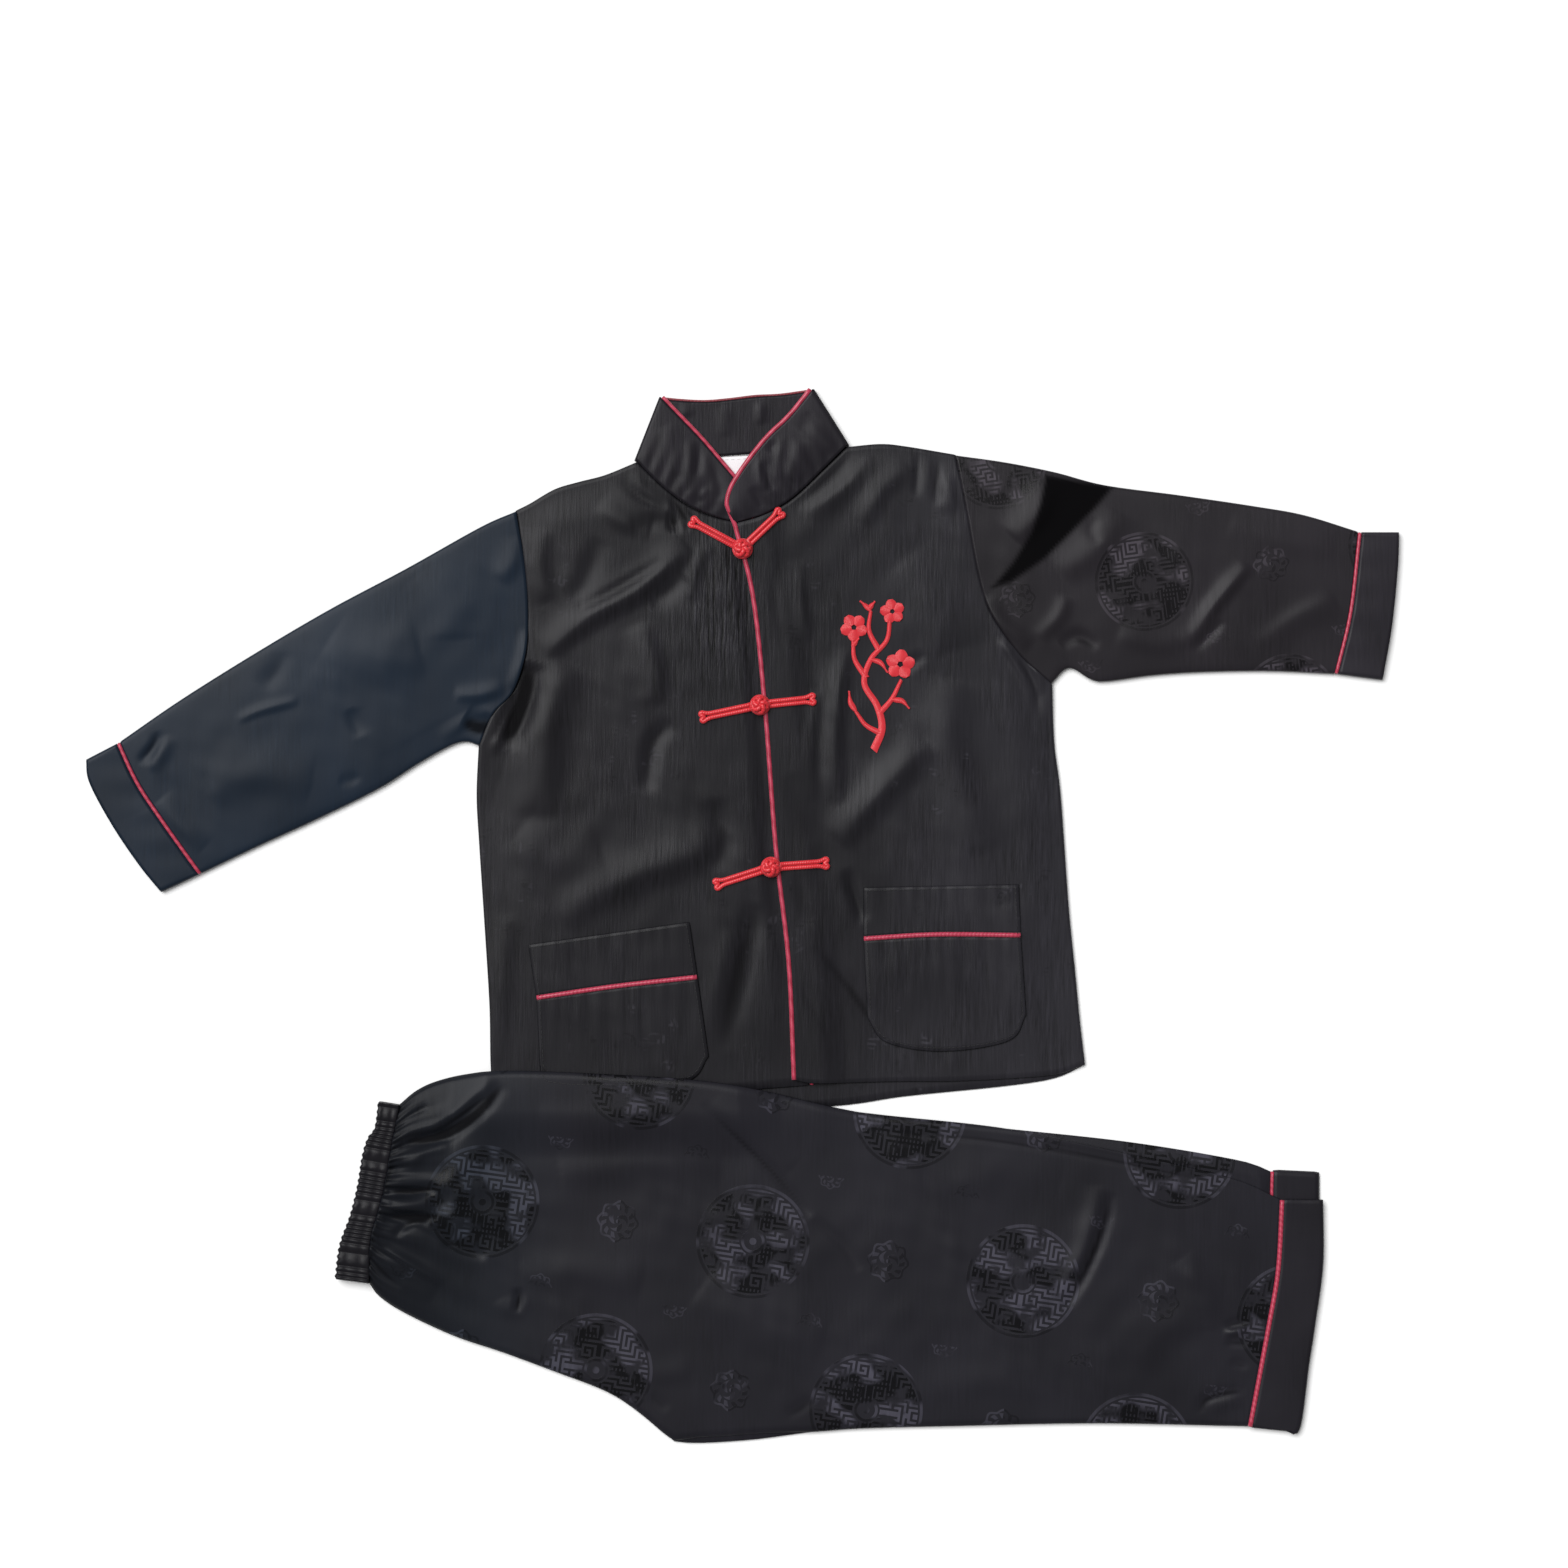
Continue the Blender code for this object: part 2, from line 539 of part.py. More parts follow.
def sleeve_and_cuff(side, top, low, armhole, seam, end, look):
    """A sleeve, its band cuff, and the piping that runs round the cuff's seam."""
    rows, columns = 11, ARM_STEPS
    grid = sleeve_grid(top, low, armhole, seam, rows, columns)
    tops = [sleeve_tops(row, v) for row, v in zip(grid, np.linspace(0, 1, rows + 1))]
    sections = [ring(row, SLEEVE_EDGE, heights) for row, heights in zip(grid, tops)]
    tube(f"sleeve_{side}", sections, look, CLOTH)
    rings = cuff_rings(seam, end, tops[-1], SLEEVE_EDGE + CUFF_EXTRA)
    tube(f"cuff_{side}", rings, look, BAND)
    line = through(seam, columns)[::-1]
    proud = PIPING_R / 2
    loop = ring(line, SLEEVE_EDGE + proud, tops[-1] + proud, PIPING_R)
    loop = [(x, y, max(z, PIPING_R)) for x, y, z in loop]
    cord(f"piping_cuff_{side}", loop, PIPING_R, piping_red, closed=True)


def collar_stations():
    """Pairs of base and top points along the collar's band, from end to end."""
    right = [(np.array(row[:3]), np.array(row[3:])) for row in RIGHT_WING]
    left = [(np.array(row[:3]), np.array(row[3:])) for row in LEFT_WING]
    tops = through(BACK_BAND_TOP, 6)
    first, last = np.array(RIGHT_WING[-1][:2]), np.array(LEFT_WING[0][:2])
    bases = [first + (last - first) * t for t in np.linspace(0, 1, 7)]
    back = [(np.array([*b, BACK_BAND_Z]), np.array([*t, BACK_BAND_Z]))
            for b, t in zip(bases, tops)]
    return right, back, left


def turn_over(wing_end, back_end, outward):
    """Stations of the fold where a wing turns under into the back band."""
    stations = []
    for angle in (60, 20, -20, -60):
        a = math.radians(angle)
        pair = []
        for high, low in zip(wing_end, back_end):
            r = (high[2] - low[2]) / 2
            flat = high[:2] + outward * r * math.cos(a)
            pair.append(np.array([*flat, low[2] + r + r * math.sin(a)]))
        stations.append(tuple(pair))
    return stations


def clear_of_piping(band):
    """The band's two ends, drawn back from the piping that runs down them."""
    for end, near in ((0, 1), (-1, -2)):
        pair = []
        for point, beside in zip(band[end], band[near]):
            back = (beside - point) / np.linalg.norm(beside - point)
            pair.append(point + back * (SEAM_SLOT + 0.8))
        band[end] = tuple(pair)
    return band


def trimmed(base, top, bow, run):
    """Four points across the band, clear of its seam and of the piping at its edge."""
    along = top - base
    along /= np.linalg.norm(along)
    slant = abs(along[0] * run[1] - along[1] * run[0]) / max(np.linalg.norm(run[:2]), 0.01)
    back = (SEAM_SLOT + 0.25) / (max(slant, 0.6) if np.linalg.norm(run[:2]) > 6 else 1)
    low, high = base + along * (GAP + 0.1), top - along * back
    points = [low + (high - low) * t for t in (0, 1 / 3, 2 / 3, 1)]
    for point in points[1:3]:
        point[2] += bow
    return points


def collar():
    """The stand collar, laid flat: two wings over a back band, in one folded strip."""
    right, back, left = collar_stations()
    band = (right + turn_over(right[-1], back[0], np.array(LEFT_OUT)) + back
            + turn_over(left[0], back[-1], np.array(RIGHT_OUT))[::-1] + left)
    band = clear_of_piping(band)
    wings = [0.6] * (len(right) - 1) + [0.0] * (len(back) + 10) + [0.6] * (len(left) - 1)
    runs = np.gradient(np.array([top for base, top in band]), axis=0)
    points = [p for (base, top), bow, run in zip(band, wings, runs)
              for p in trimmed(base, top, bow, run)]
    return add_object("collar", points, grid_faces(len(band), 4), satin, BAND, offset=0.0)


def neck_label():
    """The small blank label sewn below the collar at the back of the neck."""
    low = through([(-13.5, 272.4), (8.0, 273.6)], 3)
    high = through([(-14.5, 286.2), (7.2, 287.4)], 3)
    left, right = through([low[0], high[0]], 2), through([low[-1], high[-1]], 2)
    return sheet("neck_label", with_height(patch(low, high, left, right), UNDER_FRONT),
                 label_white, 1.0)


def pocket(place):
    """A patch pocket: its body, its turned band, and the piping between them."""
    seam = through(place.seam, 7)
    low = through(place.bottom, 7)
    top = through(place.top, 7)
    name = f"pocket_{place.side}"
    pieces = []
    body_top, band_low = inset(seam, -SEAM_SLOT), inset(seam, SEAM_SLOT)
    cloths = ((name, low, body_top, 5), (f"pocket_band_{place.side}", band_low, top, 3))
    for part, bottom, upper, rows in cloths:
        left = through([bottom[0], upper[0]], rows)
        right = through([bottom[-1], upper[-1]], rows)
        grid = patch(bottom, upper, left, right)
        z = np.array([[stack.height(x, y) for x, y in row] for row in grid]) + 1.5 * GAP
        pieces.append(sheet(part, with_height(grid, z), satin))
    line = lay_cord(through(place.seam, 10), PIPING_R)
    pieces.append(cord(f"piping_pocket_{place.side}", line, PIPING_R, piping_red))
    return pieces


def frog_arm(name, knot, end):
    """A doubled cord from the knot to its flared end, as one long loop."""
    start, tip = np.array(knot), np.array(end)
    along = (tip - start) / np.linalg.norm(tip - start)
    side = np.array([-along[1], along[0]])
    length = np.linalg.norm(tip - start)
    runs = np.linspace(KNOT_R + GAP + FROG_R, length - 6, 6)
    out = [(d, ARM_LANE) for d in runs]
    out += [(length - 3, ARM_FLARE), (length - 0.6, ARM_FLARE - 0.4)]
    path = out + [(length, 0)] + [(d, -w) for d, w in reversed(out)]
    flat = np.array([start + along * d + side * w for d, w in path])
    laid = lay_cord(flat, FROG_R, reach=FROG_R + 0.4, soften=3)
    return cord(name, laid, FROG_R, cord_red, closed=True)


def frog_knot(name, place):
    """The button knot: a flattened ball with the swellings of its wound cord."""
    shape = bmesh.new()
    bmesh.ops.create_uvsphere(shape, u_segments=16, v_segments=9, radius=1)
    widest = KNOT_R * (1 + KNOT_SWELL)
    base = GAP + max(stack.height(*place, reach=r) - KNOT_H * (1 - math.sqrt(1 - (r / widest) ** 2))
                     for r in range(6))
    for vertex in shape.verts:
        x, y, z = vertex.co
        turn = math.atan2(y, x)
        swell = 1 + KNOT_SWELL * math.cos(4 * turn + 2.4 * z) * (1 - z * z)
        vertex.co = ((place[0] + x * KNOT_R * swell) * MM,
                     (place[1] + y * KNOT_R * swell) * MM,
                     (base + KNOT_H * (1 + z)) * MM)
    mesh = bpy.data.meshes.new(name)
    shape.to_mesh(mesh)
    shape.free()
    mesh.materials.append(cord_red)
    mesh.shade_smooth()
    made = bpy.data.objects.new(name, mesh)
    parts.objects.link(made)
    return made


def climb(x, y):
    """How high the trousers' underside lies where they cross the jacket's hem."""
    table = np.array(CLIMB)
    across = np.interp(x, table[:, 0], table[:, 1])
    return across * smooth_step(CLIMB_FAR, CLIMB_NEAR, y)


def waist_distance(x, y):
    """Distance from the waist seam, along the leg."""
    line = through(WAIST, 20)
    return x - np.interp(y, line[:, 1], line[:, 0])


def puff(x, y):
    """The fullness that the gathered waist throws into the leg."""
    away = np.maximum(waist_distance(x, y), 0)
    return sum(swell.height * np.exp(-((away - swell.centre) / swell.spread) ** 2)
               for swell in PUFFS)


def crown_across(rows):
    """Fullness across a leg: none at its two folds, and full in the middle."""
    return np.sin(np.pi * np.asarray(rows)) ** 0.7


def leg_under():
    """The layers below the top leg, as one rounded solid, layered at its edges."""
    low = edge((SEAT, 9), (INSEAM, 14))
    high = through(LOWER_LEG_TOP, len(low) - 1)
    rows = np.array(UNDER_ROWS)
    hem = inset(through(LOWER_HEM_SEAM, rows), SEAM_SLOT)
    grid = patch(low, high, through(WAIST, rows), hem, rows)
    grid[:, 0] += (GAP, 0)
    x, y = grid[..., 0], grid[..., 1]
    rise = 0.86 * puff(x, y) * crown_across(rows)[:, None]
    rise -= 0.5 * smooth_step(CLIMB_FAR - 16, CLIMB_FAR, y) * smooth_step(110, 70, x)
    return layered_slab("leg_under", grid, climb(x, y), LEG_LAYERS + rise, satin)


def layered_slab(name, grid, floor, height, look):
    """A closed slab on a grid, with the lips of its layers round its edge."""
    rows, columns = grid.shape[:2]
    rim = ([(0, c) for c in range(columns)] + [(r, columns - 1) for r in range(1, rows)]
           + [(rows - 1, c) for c in range(columns - 2, -1, -1)]
           + [(r, 0) for r in range(rows - 2, 0, -1)])
    border = np.array([grid[r, c] for r, c in rim])
    along = np.roll(border, -1, axis=0) - np.roll(border, 1, axis=0)
    inward = np.column_stack([-along[:, 1], along[:, 0]])
    inward /= np.linalg.norm(inward, axis=1)[:, None]
    points, faces = [], []
    index = {}
    for label, level in (("low", floor), ("high", floor + height)):
        step = HIDDEN_LIPS[0][0] if label == "low" else TOP_INSET
        for r in range(rows):
            for c in range(columns):
                index[label, r, c] = len(points)
                flat = grid[r, c]
                if (r, c) in rim:
                    flat = flat + inward[rim.index((r, c))] * step
                points.append((*flat, level[r, c]))
    for r in range(rows - 1):
        for c in range(columns - 1):
            square = [(r, c), (r, c + 1), (r + 1, c + 1), (r + 1, c)]
            faces.append([index["high", *corner] for corner in square])
            faces.append([index["low", *corner] for corner in reversed(square)])
    loops = [[index["low", *corner] for corner in rim]]
    for step, z in HIDDEN_LIPS[1:]:
        loops.append(list(range(len(points), len(points) + len(rim))))
        points += [(*(p + n * step), floor[r, c] + z)
                   for p, n, (r, c) in zip(border, inward, rim)]
    loops.append([index["high", *corner] for corner in rim])
    for lower, upper in zip(loops, loops[1:]):
        for k in range(len(rim)):
            j = (k + 1) % len(rim)
            faces.append([lower[k], lower[j], upper[j], upper[k]])
    return add_object(name, points, faces, look)


def leg_over():
    """The cloth of the top leg, with soft pleats from the gathered waist."""
    low = edge((SEAT, 11), (INSEAM, 15))
    high = through(LEG_TOP, len(low) - 1)
    rows = np.concatenate([[0, TURN], np.linspace(0, 1, 3 * PLEATS + 1)[1:-1], [1 - TURN, 1]])
    hem = inset(through(HEM_SEAM, rows), SEAM_SLOT)
    grid = patch(low, high, through(WAIST, rows), hem, rows)
    grid[:, 0] += (GAP, 0)
    x, y = grid[..., 0].copy(), grid[..., 1].copy()
    v = rows[:, None]
    across = crown_across(rows)[:, None]
    away = np.maximum(waist_distance(x, y), 0)
    wave = (1 - np.cos(2 * np.pi * PLEATS * v)) / 2
    pleats = PLEAT_HEIGHT * wave * np.exp(-away / PLEAT_REACH)
    folds = fold_height(TROUSER_FOLDS, x, y)
    soft = np.maximum((folds + pleats) * across, 0)
    z = climb(x, y) + LEG_LAYERS + GAP + puff(x, y) * across + soft
    z[0] -= 1.0
    z[-1] -= 1.0 - smooth_step(140, 200, x[-1])
    return sheet("leg_over", with_height(grid, z), satin)


def waistband(name, bottom, top):
    """A layer of the waistband: a closed loft whose outer face is raised in gathers."""
    count = GATHERS * 2
    inside, outside = through(WAIST, count), through(WAIST_OUTER, count)
    sections = []
    for k, (a, b) in enumerate(zip(inside, outside)):
        dip = 0.0 if k % 2 else GATHER_DEPTH
        z_low = bottom + climb(*a)
        z_top = z_low + (top - bottom) - dip
        across = (b - a) / np.linalg.norm(b - a)
        wide = np.linalg.norm(b - a) - dip * 4 / 3
        near, far = a + across * GAP, a + across * wide
        sections.append([(*near, z_low), (*near, z_top - 0.5), (*(near + across * 1.6), z_top),
                         (*(far - across * 1.4), z_top), (*far, (z_low + z_top) / 2),
                         (*(far - across * 0.8), z_low)])
    size = len(sections[0])
    faces = grid_faces(len(sections), size, closed=True)
    faces.append(list(range(size))[::-1])
    faces.append([(len(sections) - 1) * size + k for k in range(size)])
    points = [p for section in sections for p in section]
    return face_outwards(add_object(name, points, faces, satin))


def hem_band(name, seam, end, base, wall):
    """A trouser cuff: a flat folded band past the piping in the hem's seam."""
    near = inset(through(seam, 8), -SEAM_SLOT)
    far = through(end, 8)
    grid = patch(near, far, through([near[0], far[0]], 2), through([near[-1], far[-1]], 2))
    z = np.full(grid.shape[:2], base)
    made = sheet(name, with_height(grid, z), satin, wall)
    made.data.flip_normals()
    return made


def build():
    """All the pieces, in the order in which they lie on each other."""
    stack.add(jacket_back(), front_over(), front_under())
    neck_label()
    collar()
    for place in POCKETS:
        pocket(place)
    sleeve_and_cuff("left", SLEEVE_TOP_LEFT, SLEEVE_LOW_LEFT, ARMHOLE_LEFT,
                    CUFF_SEAM_LEFT, CUFF_END_LEFT, satin)
    sleeve_and_cuff("right", SLEEVE_TOP_RIGHT, SLEEVE_LOW_RIGHT, ARMHOLE_RIGHT,
                    CUFF_SEAM_RIGHT, CUFF_END_RIGHT, blue_satin)
    front_piping()
    for frog in FROGS:
        frog_knot(f"frog_{frog.number}_knot", frog.knot)
        frog_arm(f"frog_{frog.number}_right_arm", frog.knot, frog.right_arm)
        frog_arm(f"frog_{frog.number}_left_arm", frog.knot, frog.left_arm)
    trousers()


def front_piping():
    """Piping: each front edge with its collar wing, and the back of the collar."""
    edge_line = through(FRONT_EDGE, 22)
    mid = UNDER_FRONT + PLACKET_RISE + CLOTH / 2
    over = [(x, y, mid) for x, y in edge_line]
    wing = through([row[3:] for row in reversed(LEFT_WING)], 14)
    over += [tuple(p) for p in wing]
    stack.add(cord("piping_front_left", over, PIPING_R, piping_red))
    under = [(x + UNDERLAP + SEAM_SLOT, y, UNDER_FRONT + PIPING_R) for x, y in edge_line]
    wing = through([row[3:] for row in RIGHT_WING], 14)
    under += [tuple(p) for p in wing]
    cord("piping_front_right", under, PIPING_R, piping_red)
    back = [(x, y, PIPING_R) for x, y in through(BACK_BAND_TOP, 10)]
    cord("piping_collar_back", back, PIPING_R, piping_red)


def trousers():
    """The folded trousers: two legs, two waistbands, two cuffs and their piping."""
    leg_under()
    leg_over()
    waistband("waistband_under", *WAIST_UNDER)
    waistband("waistband_over", *WAIST_OVER)
    hem_band("leg_cuff_under", LOWER_HEM_SEAM, LOWER_HEM_END, 0.0, LEG_LAYERS - GAP)
    hem_band("leg_cuff_over", HEM_SEAM, HEM_END, LEG_LAYERS + GAP, BAND)
    low = [(x, y, PIPING_R + GAP) for x, y in through(LOWER_HEM_SEAM, 12)]
    cord("piping_leg_under", low, PIPING_R, piping_red)
    high = [(x, y, LEG_LAYERS + GAP + PIPING_R) for x, y in through(HEM_SEAM, 12)]
    cord("piping_leg_over", high, PIPING_R, piping_red)


build()
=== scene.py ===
# %% [markdown]
# # A child's tai chi uniform, laid flat
# The suit is a jacket and trousers in black satin brocade with red piping. It lies on a white
# table, seen from straight above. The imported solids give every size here, and this script gives
# each of them a thin cloth shell with its creases, weave, sewing and cords. All tables are in
# millimetres, with X to the right and Y up the picture, and the table's top at Z = 0.

import json
import math
from collections import namedtuple

import bmesh
import bpy
import numpy as np
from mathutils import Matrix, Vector
from mathutils.bvhtree import BVHTree


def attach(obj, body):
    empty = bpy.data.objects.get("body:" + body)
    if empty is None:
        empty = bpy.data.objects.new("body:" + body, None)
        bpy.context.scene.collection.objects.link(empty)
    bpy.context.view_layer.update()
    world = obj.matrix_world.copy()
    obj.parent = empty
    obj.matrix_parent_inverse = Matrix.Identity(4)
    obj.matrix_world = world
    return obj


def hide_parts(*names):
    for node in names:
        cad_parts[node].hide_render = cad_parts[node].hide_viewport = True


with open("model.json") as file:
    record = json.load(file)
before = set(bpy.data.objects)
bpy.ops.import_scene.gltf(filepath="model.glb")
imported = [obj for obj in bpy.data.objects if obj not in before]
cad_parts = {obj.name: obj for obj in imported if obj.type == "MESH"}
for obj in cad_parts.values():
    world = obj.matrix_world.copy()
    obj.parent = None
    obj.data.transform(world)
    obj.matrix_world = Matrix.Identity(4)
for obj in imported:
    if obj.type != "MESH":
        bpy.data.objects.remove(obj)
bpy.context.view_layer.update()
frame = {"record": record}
MM = 0.001

# %% [markdown]
# ## Sizes of the sewing
# A lined satin layer is about 1.2 mm thick, a folded band 1.6 mm, and the piping is a 2.4 mm cord
# in a bias strip. These repeat the driving sizes of the solids, so that each shell lies on its own
# solid and the pieces keep the order in which they were laid down.

# %% Sizes, in millimetres
CLOTH, BAND, GAP = 1.2, 1.6, 0.3
SHELL = 1.0             # wall of the shells made here, just under the cloth's
PIPING_R, FROG_R = 1.2, 1.2
SEAM_SLOT = PIPING_R + GAP
UNDER_FRONT = CLOTH + GAP
SLEEVE_EDGE, CUFF_EXTRA = 4.2, 0.4
PLACKET_RISE, UNDERLAP = 2.8, 10.0
LEG_LAYERS = 3.2
FINE = 9                # steps here for each step of the solids' grids
FRONT_COLUMNS = 108
SLOTS = [material["slot"] for material in frame["record"]["materials"]]
print("slots:", SLOTS)

# %% [markdown]
# ## The outlines of the pattern pieces
# A pattern cutter draws each panel from a few points and a smooth curve through them. Every table
# below is one seam or edge of a panel, and two panels that meet read the same table, so a seam
# can't open between them.

# %% The jacket's seams and edges: x, y
FRONT_EDGE = [(32.1, -102.5), (28.8, -29), (20.8, 42), (14, 130), (6.4, 200), (-5, 244.7)]
NECK_LEFT = [(-5, 244.7), (12.4, 249.8), (30, 259.7), (44, 272), (64.6, 292.5)]
NECK_RIGHT = [(-65.9, 283.2), (-50, 268), (-35.4, 256.3), (-17.4, 248.6), (5, 244.2)]
NECK_BACK = [(-65.9, 283.2), (0, 287), (64.6, 292.5)]
SHOULDER_LEFT = [(64.6, 292.5), (85.8, 294.4), (101.4, 293), (132.7, 287.8)]
SHOULDER_RIGHT = [(-141.7, 252.8), (-132.9, 257.2), (-117.3, 266.2), (-101.7, 270.9), (-86, 275),
                  (-65.9, 283.2)]
ARMHOLE_LEFT = [(193, 145), (173.3, 162.8), (155.5, 188), (147.1, 213), (140.2, 250),
                (132.7, 287.8)]
ARMHOLE_RIGHT = [(-164.6, 106), (-156.1, 125.9), (-143.5, 140), (-135.5, 164), (-134.2, 193),
                 (-136.5, 222), (-141.7, 252.8)]
SIDE_LEFT = [(213.6, -93.2), (210.4, -66), (207, -30.9), (203.3, 6.6), (198.4, 75),
             (194.4, 108), (193, 145)]
SIDE_RIGHT = [(-155.5, -122.8), (-157.3, -93.4), (-158, -55.9), (-161.1, -6), (-164.4, 44),
              (-166, 75), (-164.6, 106)]
HEM_LEFT = [(32.1, -102.5), (48.3, -104.7), (96.4, -103.6), (137.7, -103.2), (192, -99.6),
            (213.6, -93.2)]
HEM_RIGHT = [(-155.5, -122.8), (-75, -115), (41, -106)]
HEM_BACK = [(-155.5, -122.8), (-60, -124.5), (52.7, -119.2), (101.4, -112.8), (163.9, -106.4),
            (195.2, -101.4), (213.6, -93.2)]
SLEEVE_TOP_LEFT = [(132.7, 287.8), (163.9, 283.4), (195.2, 277.2), (226.4, 269.1),
                   (273.3, 262.8), (320.2, 255.9), (351.4, 250.3), (385.8, 239.7)]
SLEEVE_LOW_LEFT = [(193, 145), (204, 154.6), (218, 147.4), (228, 146.4), (257.7, 150.3),
                   (290, 152.3), (330, 152.8), (371, 151)]
SLEEVE_TOP_RIGHT = [(-141.7, 252.8), (-164.2, 242.8), (-211, 216.6), (-258, 191.6),
                    (-304.8, 164.1), (-351.7, 134.7), (-390.4, 108)]
SLEEVE_LOW_RIGHT = [(-164.6, 106), (-173, 108.6), (-183, 106), (-203.6, 94.5), (-226.7, 79.8),
                    (-264.2, 61.2), (-304.2, 42.8), (-339.2, 26)]
CUFF_END_LEFT = [(399.8, 147.2), (405.8, 181.6), (409.4, 218), (410.2, 239.7)]
CUFF_SEAM_LEFT = [(371, 151), (380, 190), (385.8, 239.7)]
CUFF_END_RIGHT = [(-363.5, 14.6), (-377.3, 31.6), (-394.2, 56.6), (-408.3, 83), (-410.4, 97.6)]
CUFF_SEAM_RIGHT = [(-339.2, 26), (-362, 58), (-378, 82), (-390.4, 108)]

# %% The trousers' seams and edges: x, y
WAIST = [(-233.2, -229.6), (-231.5, -203), (-223.6, -171.6), (-214.2, -118.4)]
WAIST_OUTER = [(-255, -226.8), (-252.3, -206), (-245.6, -187), (-241, -168.4), (-238, -150),
               (-234.6, -139), (-230, -132), (-227.9, -116.2)]
LEG_TOP = [(-214.2, -118.4), (-204, -110), (-191.7, -104.2), (-172, -99.4), (-150, -97.2),
           (-100, -98.6), (-14.2, -104.7), (60, -120.8), (85.8, -124.9), (160.8, -133),
           (220.8, -144.7), (304.6, -164.1), (337.1, -177.8)]
LOWER_LEG_TOP = LEG_TOP[:-3] + [(242.1, -141.8), (310.8, -153.2), (331.4, -160.3)]
SEAT = [(-233.2, -229.6), (-226.7, -238), (-211, -248.2), (-180, -262.6), (-148.6, -273.2),
        (-117.3, -284.8), (-86, -296.8), (-66, -309.2), (-42.3, -329.2)]
INSEAM = [(-42.3, -329.2), (-26.7, -330.2), (7.7, -328), (38.9, -323.9), (70.2, -320.7),
          (132.7, -319), (223.3, -317.3), (317.1, -319.2)]
HEM_SEAM = [(317.1, -319.2), (328.3, -259.1), (334.6, -221.6), (337.1, -177.8)]
LOWER_HEM_SEAM = [(317.1, -319.2), (326, -259), (330, -210), (331.4, -160.3)]
HEM_END = [(339.6, -321.6), (347.6, -320.6), (353.3, -281), (357.1, -256), (362.1, -218),
           (362.1, -178)]
LOWER_HEM_END = [(337, -319.4), (347, -316), (354, -265), (359, -210), (359.6, -161.6)]

# %% [markdown]
# ## Smooth lines and patches
# A Catmull-Rom curve passes through its points, which suits seams read off a laid-out garment. A
# Coons patch then fills the space between four such curves with an even grid, the way a weaver's
# threads fill a panel, so creases and stitches can be placed on it in plain millimetres.

# %% Curves and patches
def smooth_step(low, high, value):
    t = np.clip((np.asarray(value, float) - low) / (high - low), 0, 1)
    return t * t * (3 - 2 * t)


def through(rows, count):
    """Points on a smooth curve through the rows: count + 1 even ones, or at fractions."""
    p = np.asarray(rows, float)
    if len(p) == 2:
        fine = p
    else:
        ends = np.vstack([2 * p[0] - p[1], p, 2 * p[-1] - p[-2]])
        t = np.linspace(0, 1, 12, endpoint=False)[:, None]
        spans = []
        for a, b, c, d in zip(ends, ends[1:], ends[2:], ends[3:]):
            bend = (2 * a - 5 * b + 4 * c - d) * t**2 + (3 * b - a - 3 * c + d) * t**3
            spans.append(b + ((c - a) * t + bend) / 2)
        fine = np.vstack(spans + [p[-1:]])
    steps = np.linalg.norm(np.diff(fine, axis=0), axis=1)
    along = np.concatenate([[0], np.cumsum(steps)])
    shares = np.linspace(0, 1, count + 1) if isinstance(count, int) else np.asarray(count)
    return np.column_stack([np.interp(shares * along[-1], along, column) for column in fine.T])


def edge(*spans):
    pieces = [through(rows, count) for rows, count in spans]
    return np.vstack([pieces[0]] + [piece[1:] for piece in pieces[1:]])


def patch(low, high, left, right, rows=None):
    u = np.linspace(0, 1, len(low))[None, :, None]
    v = (np.linspace(0, 1, len(left)) if rows is None else np.asarray(rows))[:, None, None]
    across = (1 - v) * low[None] + v * high[None]
    along = (1 - u) * left[:, None] + u * right[:, None]
    corners = ((1 - u) * (1 - v) * low[0] + u * (1 - v) * low[-1]
               + (1 - u) * v * high[0] + u * v * high[-1])
    return across + along - corners


def inset(flat, amount):
    """A line of points moved to the left of its own direction."""
    along = np.gradient(flat, axis=0)
    along /= np.linalg.norm(along, axis=1)[:, None]
    return flat + amount * np.column_stack([-along[:, 1], along[:, 0]])


def length_of(points):
    return float(np.linalg.norm(np.diff(np.asarray(points, float), axis=0), axis=1).sum())


print("front edge:", round(length_of(through(FRONT_EDGE, 40)), 1), "mm")

# %% [markdown]
# ## Creases
# Satin shows every crease, because its sheen turns from light to dark over a few degrees. Cloth
# simulation would put folds where it likes, so each crease is placed one by one instead: a soft
# ridge or trough along its points, which fades at both ends, with a slow unevenness below all of them.
# A negative height is a trough, and little light reaches the bottom of one, so it is marked dark
# on the cloth's points as well.

# %% Crease tables: points on the crease, half width, share of it on the sharp side, height
Crease = namedtuple("Crease", "points width sharp height")


def creases(*rows):
    return [Crease(*row) for row in rows]


